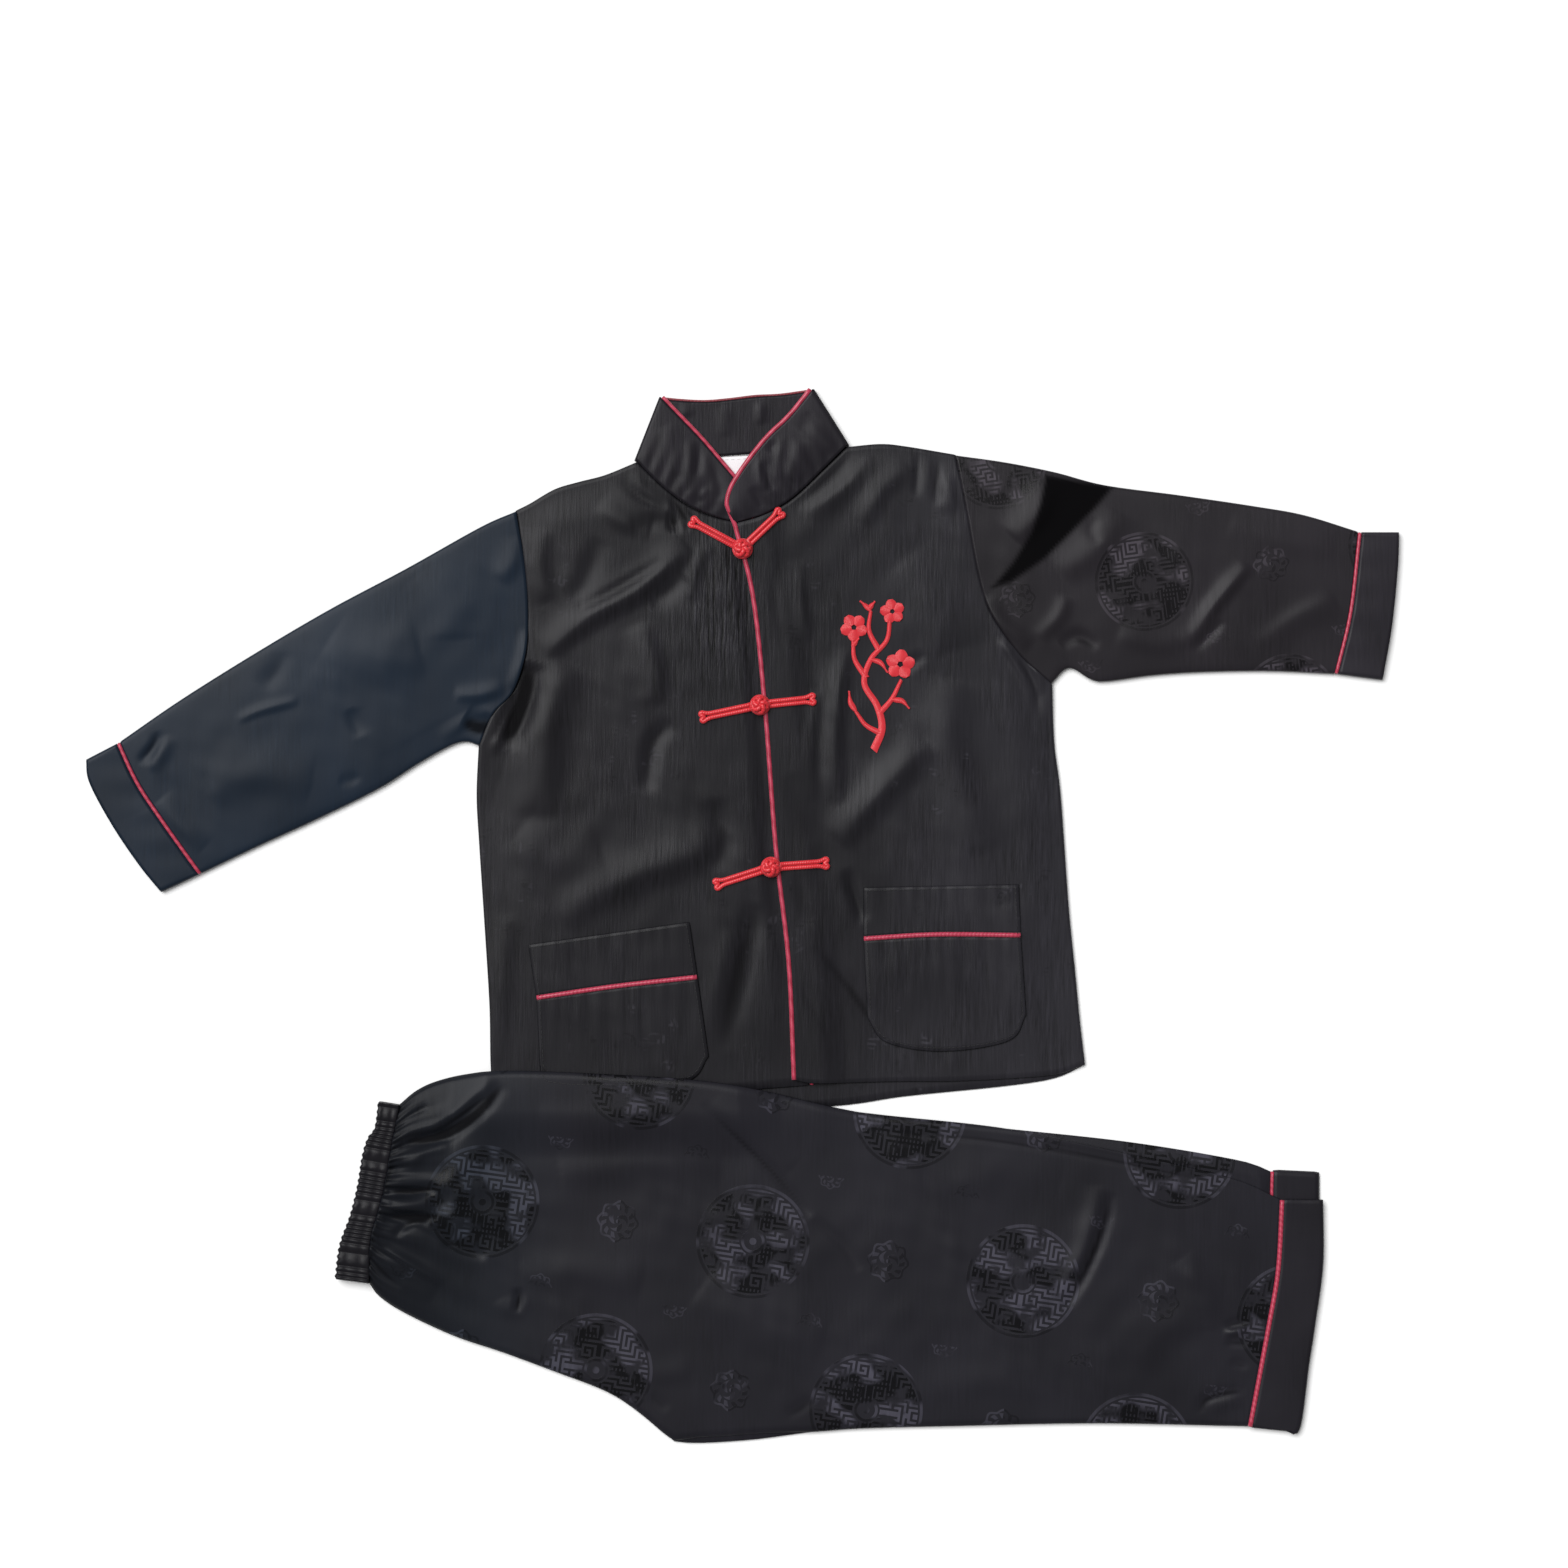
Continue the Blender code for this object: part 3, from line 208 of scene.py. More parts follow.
JACKET_CREASES = creases(
    ([(-124, 163), (-95, 186), (-64, 203), (-33, 230)], 10, 0.45, 1.9),
    ([(-105, 190), (-77, 205), (-49, 222)], 3, 1, -0.9),
    ([(-124, 63), (-124, 97), (-119, 132), (-108, 157)], 14, 0.7, 1.7),
    ([(-55, 132), (-55, 153), (-64, 182)], 10, 0.6, 1),
    ([(-44, 121), (-57, 107), (-60, 78)], 6, 0.8, -1.1),
    ([(-114, -3), (-77, 21), (-27, 40), (-13, 57)], 14, 0.6, 1.5),
    ([(-17, 72), (-13, 50), (-17, 28)], 8, 1, -0.9),
    ([(-153, -93), (-152, -47), (-149, 0)], 10, 0.6, 1.3),
    ([(9, 7), (0, -25), (-8, -59), (-12, -84)], 9, 0.8, -1.4),
    ([(-19, -84), (-13, -43), (-3, -9)], 10, 0.8, 0.9),
    ([(-133, 157), (-138, 135), (-149, 107)], 8, 0.8, -3.0),
    ([(-45, 262), (-38, 251), (-33, 243)], 3, 0.8, -1.5), ([(-36, 256), (-31, 247)], 2.5, 0.8, -1.3),
    ([(-139, 141), (-149, 117), (-157, 102)], 3, 0.8, 0.9),
    ([(-122, 197), (-127, 219), (-124, 241)], 9, 0.6, 0.8),
    ([(-89, 235), (-99, 210), (-108, 197)], 8, 0.8, -0.7),
    ([(-58, 197), (-47, 203), (-37, 213)], 8, 0.8, -0.9),
    ([(60, 71), (58, 107), (60, 138), (65, 166)], 8, 0.5, 1.1),
    ([(43, 72), (42, 107), (47, 141)], 6, 0.6, 0.6),
    ([(60, 46), (80, 69), (101, 92), (116, 108)], 12, 0.55, 1.9),
    ([(151, 41), (137, 78), (128, 113), (133, 147)], 13, 0.8, 1.4),
    ([(161, 172), (173, 155), (183, 135)], 3.2, 0.8, 1),
    ([(167, 177), (181, 160), (187, 140)], 2.8, 0.8, 0.8),
    ([(168, 166), (180, 147), (186, 125)], 3.2, 0.8, -0.9),
    ([(191, 132), (193, 97), (195, 69)], 4, 0.8, -0.6),
    ([(45, -18), (64, -43), (83, -68), (101, -85)], 6, 0.8, -1.3),
    ([(35, -43), (45, -62), (56, -81)], 3.5, 0.8, -0.8),
    ([(65, 27), (69, 13), (75, -4)], 4, 0.8, -1.1), ([(31, 88), (35, 65), (40, 44)], 7, 0.8, -0.7),
    ([(35, 28), (37, 10), (43, -6)], 8, 0.8, -0.8),
    ([(70, 292), (51, 272), (31, 255)], 3.5, 0.8, -0.9),
    ([(81, 287), (60, 266), (38, 251)], 6, 0.5, 0.9),
    ([(75, 245), (87, 265), (103, 281)], 8, 0.6, 0.8), ([(110, 291), (108, 263)], 3, 0.8, -0.6),
    ([(122, 286), (121, 257)], 4, 0.8, -0.6), ([(131, 253), (128, 275)], 6, 0.6, 0.6),
    ([(22, 228), (21, 197), (26, 166)], 5, 0.8, -0.6),
    ([(40, 172), (36, 197), (36, 222)], 6, 0.6, 0.5), ([(98, 152), (114, 163)], 3, 0.8, -0.7),
    ([(164, 7), (173, -28), (180, -59)], 9, 0.8, 0.7),
    ([(-77, 272), (-61, 260), (-47, 255)], 3.5, 0.8, -0.9),
    ([(-44, 252), (-43, 241)], 3.5, 0.8, -1.2),
    ([(-70, 242), (-52, 247), (-37, 242)], 6, 0.8, -0.7),
    ([(-33, 197), (-27, 222), (-19, 232)], 5, 0.8, 0.5),
    ([(-89, 257), (-77, 247), (-58, 241)], 8, 0.6, 0.8), ([(130, -81), (131, -97)], 3, 0.8, 0.6),
    ([(-64, -60), (-60, -78), (-57, -92)], 3, 0.8, -0.5),
    ([(101, 222), (120, 197), (130, 166)], 16, 0.8, 0.7),
    ([(-139, 53), (-114, 35), (-89, 41)], 16, 0.8, 0.8))

SLEEVE_CREASES = creases(
    ([(277, 165), (286, 175), (296, 191), (316, 218)], 6, 0.5, 1.5),
    ([(283, 163), (293, 172), (300, 181)], 3, 0.8, -1),
    ([(186, 172), (198, 183), (203, 197)], 5, 0.8, 0.8),
    ([(200, 167), (211, 172), (223, 165)], 4, 0.8, -1),
    ([(223, 232), (218, 241), (221, 250)], 4, 0.8, -0.5),
    ([(198, 213), (220, 227), (236, 253)], 12, 0.7, 1.2),
    ([(170, 235), (186, 253), (193, 278)], 12, 0.5, 2),
    ([(236, 172), (261, 166), (280, 169)], 8, 0.7, 0.8),
    ([(305, 247), (342, 235), (370, 232)], 12, 0.7, 0.8),
    ([(370, 197), (348, 185), (323, 166)], 9, 0.7, 0.8),
    ([(151, 197), (161, 182), (180, 167)], 6, 0.7, 0.9),
    ([(-366, 116), (-369, 107), (-377, 97)], 4, 0.7, -1.1),
    ([(-359, 113), (-364, 102), (-370, 92)], 5, 0.7, 0.7),
    ([(-315, 121), (-300, 127), (-277, 132)], 3.5, 0.7, 0.6),
    ([(-300, 142), (-292, 153), (-287, 166)], 8, 0.7, -0.7),
    ([(-252, 81), (-244, 82), (-240, 86)], 4, 0.7, -0.7),
    ([(-244, 125), (-242, 116), (-239, 108)], 5, 0.7, -0.5),
    ([(-180, 135), (-165, 136), (-150, 141)], 5, 0.6, 0.9),
    ([(-175, 121), (-164, 117), (-157, 121)], 7, 0.8, -2.4),
    ([(-144, 141), (-137, 160), (-134, 178)], 4, 0.6, 0.9),
    ([(-189, 107), (-170, 121), (-152, 127)], 5, 0.6, 0.8),
    ([(-152, 210), (-144, 222), (-142, 238)], 7, 0.7, 0.8),
    ([(-258, 172), (-233, 160), (-202, 166)], 20, 0.8, 0.9),
    ([(-333, 78), (-302, 85), (-270, 78)], 14, 0.8, 0.8),
    ([(-202, 216), (-183, 197), (-180, 172)], 16, 0.8, 0.7),
    ([(-364, 72), (-349, 53), (-336, 41)], 7, 0.7, 0.6))

TROUSER_CREASES = creases(
    ([(-215, -133), (-189, -129), (-170, -114), (-155, -97)], 9, 0.5, 2.6),
    ([(-215, -142), (-189, -138), (-167, -125), (-149, -105)], 5, 0.8, -2.8),
    ([(-189, -133), (-174, -123), (-160, -112)], 2.6, 0.8, -1.4),
    ([(-213, -127), (-205, -123), (-196, -118)], 2.6, 0.8, -1.3),
    ([(-222, -172), (-207, -172), (-190, -170)], 4, 0.8, -2.2),
    ([(-224, -188), (-208, -188), (-190, -187)], 4, 0.8, -2.3),
    ([(-220, -180), (-208, -180), (-193, -179)], 6, 0.7, 1.3),
    ([(-215, -152), (-223, -165), (-227, -182)], 5, 0.8, -1.8),
    ([(-217, -200), (-208, -192), (-193, -190)], 3, 0.8, -1.4),
    ([(-202, -192), (-189, -198), (-180, -207)], 3, 0.8, -1.2),
    ([(-187, -203), (-172, -209), (-160, -213)], 4, 0.8, -1.1),
    ([(-234, -185), (-229, -202), (-214, -213), (-188, -230)], 4, 0.45, 2),
    ([(-233, -217), (-217, -227), (-194, -238)], 8, 0.6, 1.5),
    ([(-237, -208), (-228, -219), (-213, -232)], 4, 0.8, -1.6),
    ([(-141, -233), (-140, -240), (-142, -248)], 2.6, 0.8, -1.6),
    ([(-152, -240), (-147, -246), (-133, -240)], 6, 0.8, 0.6),
    ([(-25, -117), (-2, -140), (20, -162), (43, -189)], 3.2, 0.7, -1.2),
    ([(43, -189), (62, -205), (73, -222)], 4, 0.7, -0.5),
    ([(-17, -114), (8, -137), (30, -158)], 9, 0.6, 0.7),
    ([(230, -173), (226, -190), (217, -215), (202, -244)], 3.6, 0.7, -1.7),
    ([(200, -234), (212, -212), (220, -187), (222, -169)], 7, 0.5, 1.1),
    ([(285, -312), (289, -303), (300, -299), (313, -297)], 3.2, 0.7, -1.4),
    ([(292, -310), (302, -305), (311, -304)], 5, 0.7, 0.9),
    ([(302, -257), (315, -253)], 2.6, 0.8, -1), ([(301, -261), (315, -259)], 2.8, 0.8, 1.1),
    ([(302, -267), (315, -267)], 2.6, 0.8, -1), ([(305, -279), (315, -282)], 2.8, 0.8, -0.7),
    ([(-58, -300), (-47, -309)], 4, 0.8, -0.7),
    ([(27, -313), (36, -308), (43, -302)], 4, 0.8, -0.9),
    ([(-114, -160), (-64, -153), (-14, -157)], 16, 0.7, 1),
    ([(-127, -128), (-89, -133), (-52, -128)], 12, 0.7, 0.7),
    ([(-170, -165), (-180, -181), (-175, -200)], 7, 0.7, 0.9),
    ([(-139, -222), (-102, -223), (-64, -231)], 14, 0.7, 0.8),
    ([(117, -172), (161, -159), (198, -165)], 16, 0.7, 0.7),
    ([(98, -303), (148, -293), (198, -298)], 12, 0.7, 0.7),
    ([(242, -278), (261, -259), (286, -253)], 14, 0.7, 0.7),
    ([(-27, -234), (11, -259), (48, -272)], 18, 0.7, 0.8),
    ([(-77, -278), (-58, -287), (-33, -285)], 8, 0.7, 0.5),
    ([(273, -215), (286, -234), (289, -259)], 10, 0.7, 0.5),
    ([(80, -134.5), (160, -141), (240, -155), (310, -170)], 2.2, 0.8, -1.1),
    ([(84, -130.5), (160, -137), (240, -151), (300, -163)], 1.6, 0.8, -0.7),
    ([(-208, -156), (-199, -147), (-183, -142)], 6, 0.6, 1),
    ([(-186, -172), (-177, -159), (-161, -153)], 8, 0.6, 0.8),
    ([(-217, -240), (-183, -256), (-152, -268)], 7, 0.6, 0.8))


FOLD_LIFT = 1.7         # the panels' folds are this much deeper than their rows say
DARKEST = 0.85


def crease_height(table, x, y):
    """Sum of soft ridges and troughs. Each fades at its ends and is sharper on its right."""
    total, steps = np.zeros(np.shape(x)), 10
    for row in table:
        line = through(row.points, steps)
        nearest = np.full(np.shape(x), np.inf)
        turn, place = np.zeros(np.shape(x)), np.zeros(np.shape(x))
        for k, (a, b) in enumerate(zip(line, line[1:])):
            d = b - a
            t = np.clip(((x - a[0]) * d[0] + (y - a[1]) * d[1]) / (d @ d), 0, 1)
            away = (x - a[0] - t * d[0]) ** 2 + (y - a[1] - t * d[1]) ** 2
            closer = away < nearest
            nearest = np.where(closer, away, nearest)
            turn = np.where(closer, (x - a[0]) * d[1] - (y - a[1]) * d[0], turn)
            place = np.where(closer, (k + t) / steps, place)
        width = row.width * np.where(turn > 0, row.sharp, 1.0)
        taper = np.clip(1 - (2 * place - 1) ** 2, 0, 1) ** 0.6
        total = total + row.height * taper * np.exp(-nearest / width**2)
    return total


def fold_shade(table, x, y):
    """How dark a point lies, from 0 to 1: little light reaches the bottom of a trough."""
    troughs = [row._replace(width=row.width * 0.7) for row in table if row.height < 0]
    return DARKEST * smooth_step(0.25, 1.9, -crease_height(troughs, x, y))


SLOW_WAVES = ((0.051, 0.023, 0.4), (-0.031, 0.067, 1.7), (0.089, -0.057, 2.9),
              (0.017, 0.113, 4.2), (0.137, 0.041, 5.3))
QUICK_WAVES = ((0.21, 0.09, 0.9), (-0.13, 0.25, 2.3), (0.33, -0.12, 3.1), (0.10, 0.38, 4.8))


def unevenness(x, y, height):
    """The slow rise and fall of cloth that was smoothed by hand, and its small crumples."""
    drift = 1.4 * np.sin(0.043 * x + 0.029 * y)
    slow = sum(np.sin(a * x + b * y + c + drift) for a, b, c in SLOW_WAVES) / len(SLOW_WAVES)
    quick = sum(np.sin(a * x + b * y + c + 2 * drift) for a, b, c in QUICK_WAVES)
    return height * (slow + 0.28 * quick / len(QUICK_WAVES) * (1 + slow))


print("creases:", len(JACKET_CREASES), len(SLEEVE_CREASES), len(TROUSER_CREASES))

# %% [markdown]
# ## Shader maths in plain Python
# Brocade is a rule: where the pattern's threads float over the ground, the cloth shines another
# way. A rule is easiest to read as arithmetic, so one small class wraps a shader value, and each
# sign between two values adds the Math node for it.

# %% A shader value, and a finish that holds the nodes
class Value:
    """One number in a shader. Arithmetic on it adds Math nodes."""

    def __init__(self, finish, socket):
        self.finish, self.socket = finish, socket

    def apply(self, operation, *others):
        return self.finish.math(operation, self, *others)

    def __add__(self, other): return self.apply("ADD", other)
    def __sub__(self, other): return self.apply("SUBTRACT", other)
    def __mul__(self, other): return self.apply("MULTIPLY", other)
    def __truediv__(self, other): return self.apply("DIVIDE", other)
    def __mod__(self, other): return self.apply("FLOORED_MODULO", other)
    def __pow__(self, other): return self.apply("POWER", other)
    def __lt__(self, other): return self.apply("LESS_THAN", other)
    def __gt__(self, other): return self.apply("GREATER_THAN", other)
    def __rsub__(self, other): return self.finish.math("SUBTRACT", other, self)
    def __rtruediv__(self, other): return self.finish.math("DIVIDE", other, self)
    def __rpow__(self, other): return self.finish.math("POWER", other, self)
    __radd__, __rmul__ = __add__, __mul__


class Finish:
    """A material with a Principled shader, and the nodes that drive it."""

    def __init__(self, name, roughness, **constants):
        self.material = bpy.data.materials.new(name)
        self.material.use_nodes = True
        self.nodes = self.material.node_tree.nodes
        self.links = self.material.node_tree.links
        self.shader = self.nodes["Principled BSDF"]
        self.shader.inputs["Roughness"].default_value = roughness
        for socket, value in constants.items():
            self.shader.inputs[socket.replace("_", " ")].default_value = value

    def node(self, kind, settings=(), inputs=()):
        """A node of a type, with its settings first and then its sockets' values or links."""
        made = self.nodes.new(kind)
        for setting, value in dict(settings).items():
            setattr(made, setting, value)
        for key, value in dict(inputs).items():
            if isinstance(value, Value):
                value = value.socket
            if isinstance(value, bpy.types.NodeSocket):
                self.links.new(value, made.inputs[key])
            else:
                made.inputs[key].default_value = value
        return made

    def math(self, operation, *values):
        made = self.node("ShaderNodeMath", {"operation": operation}, dict(enumerate(values)))
        return Value(self, made.outputs[0])

    def place(self):
        """x, y and z of the point on the piece, in millimetres."""
        coordinates = self.node("ShaderNodeTexCoord")
        split = self.node("ShaderNodeSeparateXYZ", inputs={0: coordinates.outputs["Object"]})
        return [Value(self, socket) * 1000.0 for socket in split.outputs]

    def attribute(self, name):
        return Value(self, self.node("ShaderNodeAttribute", {"attribute_name": name}).outputs["Fac"])

    def noise(self, x, y, z, scale, detail=2.0):
        """Soft noise from 0 to 1 with its grain in millimetres along each axis."""
        vector = self.node("ShaderNodeCombineXYZ", inputs={
            0: x / scale[0], 1: y / scale[1], 2: z * 0.02})
        made = self.node("ShaderNodeTexNoise", inputs={
            "Vector": vector.outputs[0], "Scale": 1.0, "Detail": detail})
        return Value(self, made.outputs["Fac"])

    def step(self, value, low, high):
        made = self.node("ShaderNodeMapRange", {"interpolation_type": "SMOOTHSTEP"},
                         {"Value": value, "From Min": low, "From Max": high})
        return Value(self, made.outputs[0])

    def blend(self, factor, first, second):
        """A colour between two others."""
        made = self.node("ShaderNodeMix", {"data_type": "RGBA"}, {"Factor": factor})
        for key, colour in ((6, first), (7, second)):
            if isinstance(colour, bpy.types.NodeSocket):
                self.links.new(colour, made.inputs[key])
            else:
                made.inputs[key].default_value = (*colour, 1)
        return made.outputs[2]

    def tinted(self, colour, mask, tint):
        """A colour multiplied by a tint where the mask says so."""
        made = self.node("ShaderNodeMix", {"data_type": "RGBA", "blend_type": "MULTIPLY"},
                         {"Factor": mask, 6: colour, 7: (*tint, 1)})
        return made.outputs[2]

    def shadowed(self, mask):
        """A second, dull and black shader where the mask says so."""
        dull = self.node("ShaderNodeBsdfPrincipled", inputs={
            "Base Color": (0.0028, 0.0026, 0.0030, 1), "Roughness": 0.8,
            "Specular IOR Level": 0.02})
        mix = self.node("ShaderNodeMixShader", inputs={
            0: mask, 1: self.shader.outputs[0], 2: dull.outputs[0]})
        self.links.new(mix.outputs[0], self.nodes["Material Output"].inputs["Surface"])

    def finish(self, colour=None, roughness=None, height=None):
        """Link what varies. The height is in millimetres."""
        if colour is not None:
            self.links.new(colour, self.shader.inputs["Base Color"])
        if roughness is not None:
            self.links.new(roughness.socket, self.shader.inputs["Roughness"])
        if height is not None:
            bump = self.node("ShaderNodeBump", inputs={
                "Strength": 1.0, "Distance": MM, "Height": height})
            self.links.new(bump.outputs["Normal"], self.shader.inputs["Normal"])
        return self.material


# %% [markdown]
# ## The brocade's chart
# The cloth carries a traditional round key-fret ornament, woven tone on tone. A weaver charts one
# quarter of it on squared paper and mirrors the quarter about both axes. The chart below is such
# a quarter: a # is a thread that floats on top. The shader reads it as one whole number for each
# row, and picks the column's bit out of that number.

# %% One quarter of the fret, from the outer row down to the middle one
FRET = """
##########............
..........#...........
######.###.#..........
#....#.#....#.........
#.##.#.#.####.###.....
#.#..#.#.#....#.#.....
#.####.#.#.####.#.##..
#......#.#.#....#.#...
########.#.#.####.####
.........#.#.#......#.
########.###.#.####.#.
#......#.....#.#..#.#.
#.####.#######.#.##.#.
#.#..#.........#....#.
#.#.##.###########.##.
#.#....#.........#....
#.######.#######.#####
#........#.....#......
##########.###.#.#####
.............#.#.#....
####.#########.###.###
""".split()
FRET_ROWS = [sum(1 << k for k, mark in enumerate(row) if mark == "#") for row in reversed(FRET)]
FRET_CELL = 1.55        # size of a square of the chart on the cloth
ROUNDEL_R = 35.5        # the large ornament's outer radius
SMALL_R = 14.0          # and the small one's


def charted(finish, x, y):
    """1 where the fret's thread floats, around a centre at x, y = 0."""
    column = (x.apply("ABSOLUTE") / FRET_CELL).apply("FLOOR")
    row = (y.apply("ABSOLUTE") / FRET_CELL).apply("FLOOR")
    number = sum((row.apply("COMPARE", k, 0.5) * FRET_ROWS[k] for k in range(1, len(FRET_ROWS))),
                 row.apply("COMPARE", 0, 0.5) * FRET_ROWS[0])
    return (number / (2.0 ** column)).apply("FLOOR") % 2.0


def roundel(finish, x, y):
    """The large ornament's ring, fret and middle coin, and the plain bars of its dark parts."""
    r = (x * x + y * y).apply("SQRT")
    ring = (r > 33.6) * (r < ROUNDEL_R) * 0.55
    fret = charted(finish, x, y) * (r < 32.4) * (r > 8.6)
    coin = ((r > 5.6) * (r < 7.4) + (r < 2.2)) * 0.7
    bars = ((x / 2.4).apply("FRACT") > 0.42) * (r < 32.4)
    return ring + fret + coin, bars


def blossom(finish, x, y, size):
    """A small ornament: eight curled petals round a ring."""
    r = (x * x + y * y).apply("SQRT") * (SMALL_R / size)
    turn = y.apply("ARCTAN2", x)
    petal = (turn * 8.0).apply("COSINE") * 0.9 + 12.4
    curl = (turn * 3.0 + r * 0.9).apply("COSINE")
    spokes = (turn * 11.0 - r * 0.6).apply("COSINE")
    rim = (r > petal - 1.4) * (r < petal)
    middle = (r > 2.4) * (r < 6.2) * (curl > 0.1) + (r < 1.2)
    return rim + middle + (r > 7.2) * (r < 10.4) * (spokes > 0.0)


print("charted threads in a quarter:", sum(row.count("#") for row in FRET))

# %% [markdown]
# ## Black satin brocade
# Satin floats its threads, so it is smooth and shines softly, and its slubs run down the piece as
# faint streaks. The roundels sit on a lattice that follows each panel's own grain, turned as the
# panel lies. Where the floating threads would catch the light, their colour is painted brighter
# than the ground, a painted highlight, and where they would lean away from it, it is painted
# darker, a painted shade, so each roundel is bright in one part and dark in another. Their
# roughness changes with it too. A noise about as large as a third of a roundel decides which.

# %% A lattice of ornaments
Lattice = namedtuple("Lattice", "x y turn across down size strength low high")


def ornaments(finish, x, y, lattice):
    """Every ornament of a half-drop lattice, and how far right and up of its middle a point is."""
    a, across, down = math.radians(lattice.turn), lattice.across, lattice.down
    u = (x - lattice.x) * math.cos(a) + (y - lattice.y) * math.sin(a)
    v = (y - lattice.y) * math.cos(a) - (x - lattice.x) * math.sin(a)
    row = (v / down + 0.5).apply("FLOOR")
    shifted = u + (row % 2.0) * (across / 2)
    along = (shifted / across + 0.5).apply("FRACT") * across - across / 2
    level = (v / down + 0.5).apply("FRACT") * down - down / 2
    large, bars = roundel(finish, along / lattice.size, level / lattice.size)
    beside = (shifted / across).apply("FRACT") * across - across / 2
    small = blossom(finish, beside, level, SMALL_R * lattice.size)
    sprig_x = (shifted / across + 0.25).apply("FRACT") * across - across / 2
    sprig_y = (v / down).apply("FRACT") * down - down / 2
    sprig = blossom(finish, sprig_x, sprig_y, 8.5)
    lean = (along * 0.6 + level * 0.8) / ROUNDEL_R
    return large + small * 0.5 + sprig * 0.35, bars, lean


# %% The satin finish
SATIN_GLOSS = 0.15
DIMMEST, BRIGHTEST = 0.1, 6.6       # how far the ground's colour may be turned down and up
# THREAD_LIT and THREAD_DULL set the painted highlight and the painted shade in the floats' colour
THREAD_LIT, THREAD_DULL = 4.3, 0.84


def satin(name, ground, lattice=None, slub=0.10, roughness=0.38, shade=None, tint=None,
          lively=None, paler=None):
    """Satin with its slubs, weave and ornaments, on the cloth's own grain."""
    finish = Finish(name, roughness, Specular_IOR_Level=SATIN_GLOSS)
    x, y, z = finish.place()
    patches = finish.step(finish.noise(x, y, z, (34.0, 48.0), 1.0), 0.38, 0.62) * 0.8 + 0.3
    streaks = finish.noise(x, y, z, (1.7, 26.0)) - 0.5
    fine = finish.noise(x + 31.0, y, z, (0.6, 7.0), 1.0) - 0.5
    cloud = finish.noise(x, y + 90.0, z, (60.0, 75.0), 1.0) - 0.5
    if lively:
        away = ((x - lively[0]) / lively[2]) ** 2.0 + ((y - lively[1]) / lively[3]) ** 2.0
        patches = patches + 3.2 / (away * away + 1.0)
    slubs = (streaks + fine * 0.4) * patches
    tone = slubs * (slub * 12.0) + cloud * 0.9 + 1.0
    weave = (x * 9.0 + y * 3.0).apply("SINE") * 0.003
    height, rough = slubs * slub + weave, roughness - slubs * 0.1
    if lattice:
        threads, bars, lean = ornaments(finish, x, y, lattice)
        # where the floats get a painted highlight and where painted shade: a noise, tilted across each
        # roundel
        thread_glint = finish.noise(x, y + 17.0, z, (21.0, 18.0), 1.0) + lean * 0.085
        lit = finish.step(thread_glint, 0.47, 0.60)
        barred = finish.step(finish.noise(x + 60.0, y, z, (19.0, 16.0), 1.0), 0.49, 0.57)
        threads = threads.apply("MAXIMUM", bars * barred * (1.0 - lit))
        worn = finish.step(finish.noise(x, y, z, (13.0, 12.0)), lattice.low, lattice.high)
        shown = threads * worn * lattice.strength
        # the floats' colour: painted highlight where lit, painted shade where not
        tone = tone * (shown * (lit * THREAD_LIT - THREAD_DULL) + 1.0)
        rough = rough + shown * (lit * 0.25 - 0.14)
        height = height + shown * 0.035
    if paler:
        tone = tone * (finish.step(x, paler[0], paler[1]) * paler[2] + 1.0)
    factor = (tone - DIMMEST) / (BRIGHTEST - DIMMEST)
    factor = factor.apply("MAXIMUM", 0.0).apply("MINIMUM", 1.0)
    colour = finish.blend(factor, [c * DIMMEST for c in ground], [c * BRIGHTEST for c in ground])
    if tint:
        colour = finish.tinted(colour, finish.step(x, tint[0], tint[1]), tint[2])
    if shade:
        finish.shadowed(finish.attribute(shade))
    return finish.finish(colour, rough, height)


body_satin = satin("body satin", (0.0097, 0.0092, 0.0115),
                   Lattice(-152, 20, -4, 170, 94, 1.0, 0.3, 0.57, 0.68), slub=0.13,
                   lively=(-12, 192, 22, 42), shade="shade", paler=(40.0, 180.0, 0.8))
sleeve_satin = satin("left sleeve brocade", (0.0122, 0.0106, 0.0132),
                     Lattice(250.8, 208.7, 8, 160, 88, 0.87, 0.8, 0.32, 0.48), slub=0.06,
                     shade="shade", paler=(150.0, 360.0, 0.35))
blue_satin = satin("right sleeve satin", (0.0068, 0.0128, 0.0232), slub=0.04,
                   roughness=0.40, shade="shade")
trouser_satin = satin("trouser brocade", (0.0115, 0.0110, 0.0150),
                      Lattice(6.4, -203.4, -8.4, 170.6, 94.0, 1.0, 0.9, 0.33, 0.48), slub=0.045,
                      shade="shade", tint=(-90.0, -190.0, (0.86, 1.06, 1.08)))
plain_satin = satin("plain satin", (0.0115, 0.0105, 0.0140), slub=0.05)
cuff_satin = satin("cuff satin", (0.0185, 0.0165, 0.0215), slub=0.05)
# A darker copy of the satin for the waistband: its darker ground is painted shade of the gathers.
shaded_gathered_satin = satin("gathered satin", (0.0075, 0.0070, 0.0092), slub=0.05)
inner_satin = satin("inner satin", (0.0115, 0.0100, 0.0135), slub=0.12)
print("satins:", [m.name for m in bpy.data.materials])
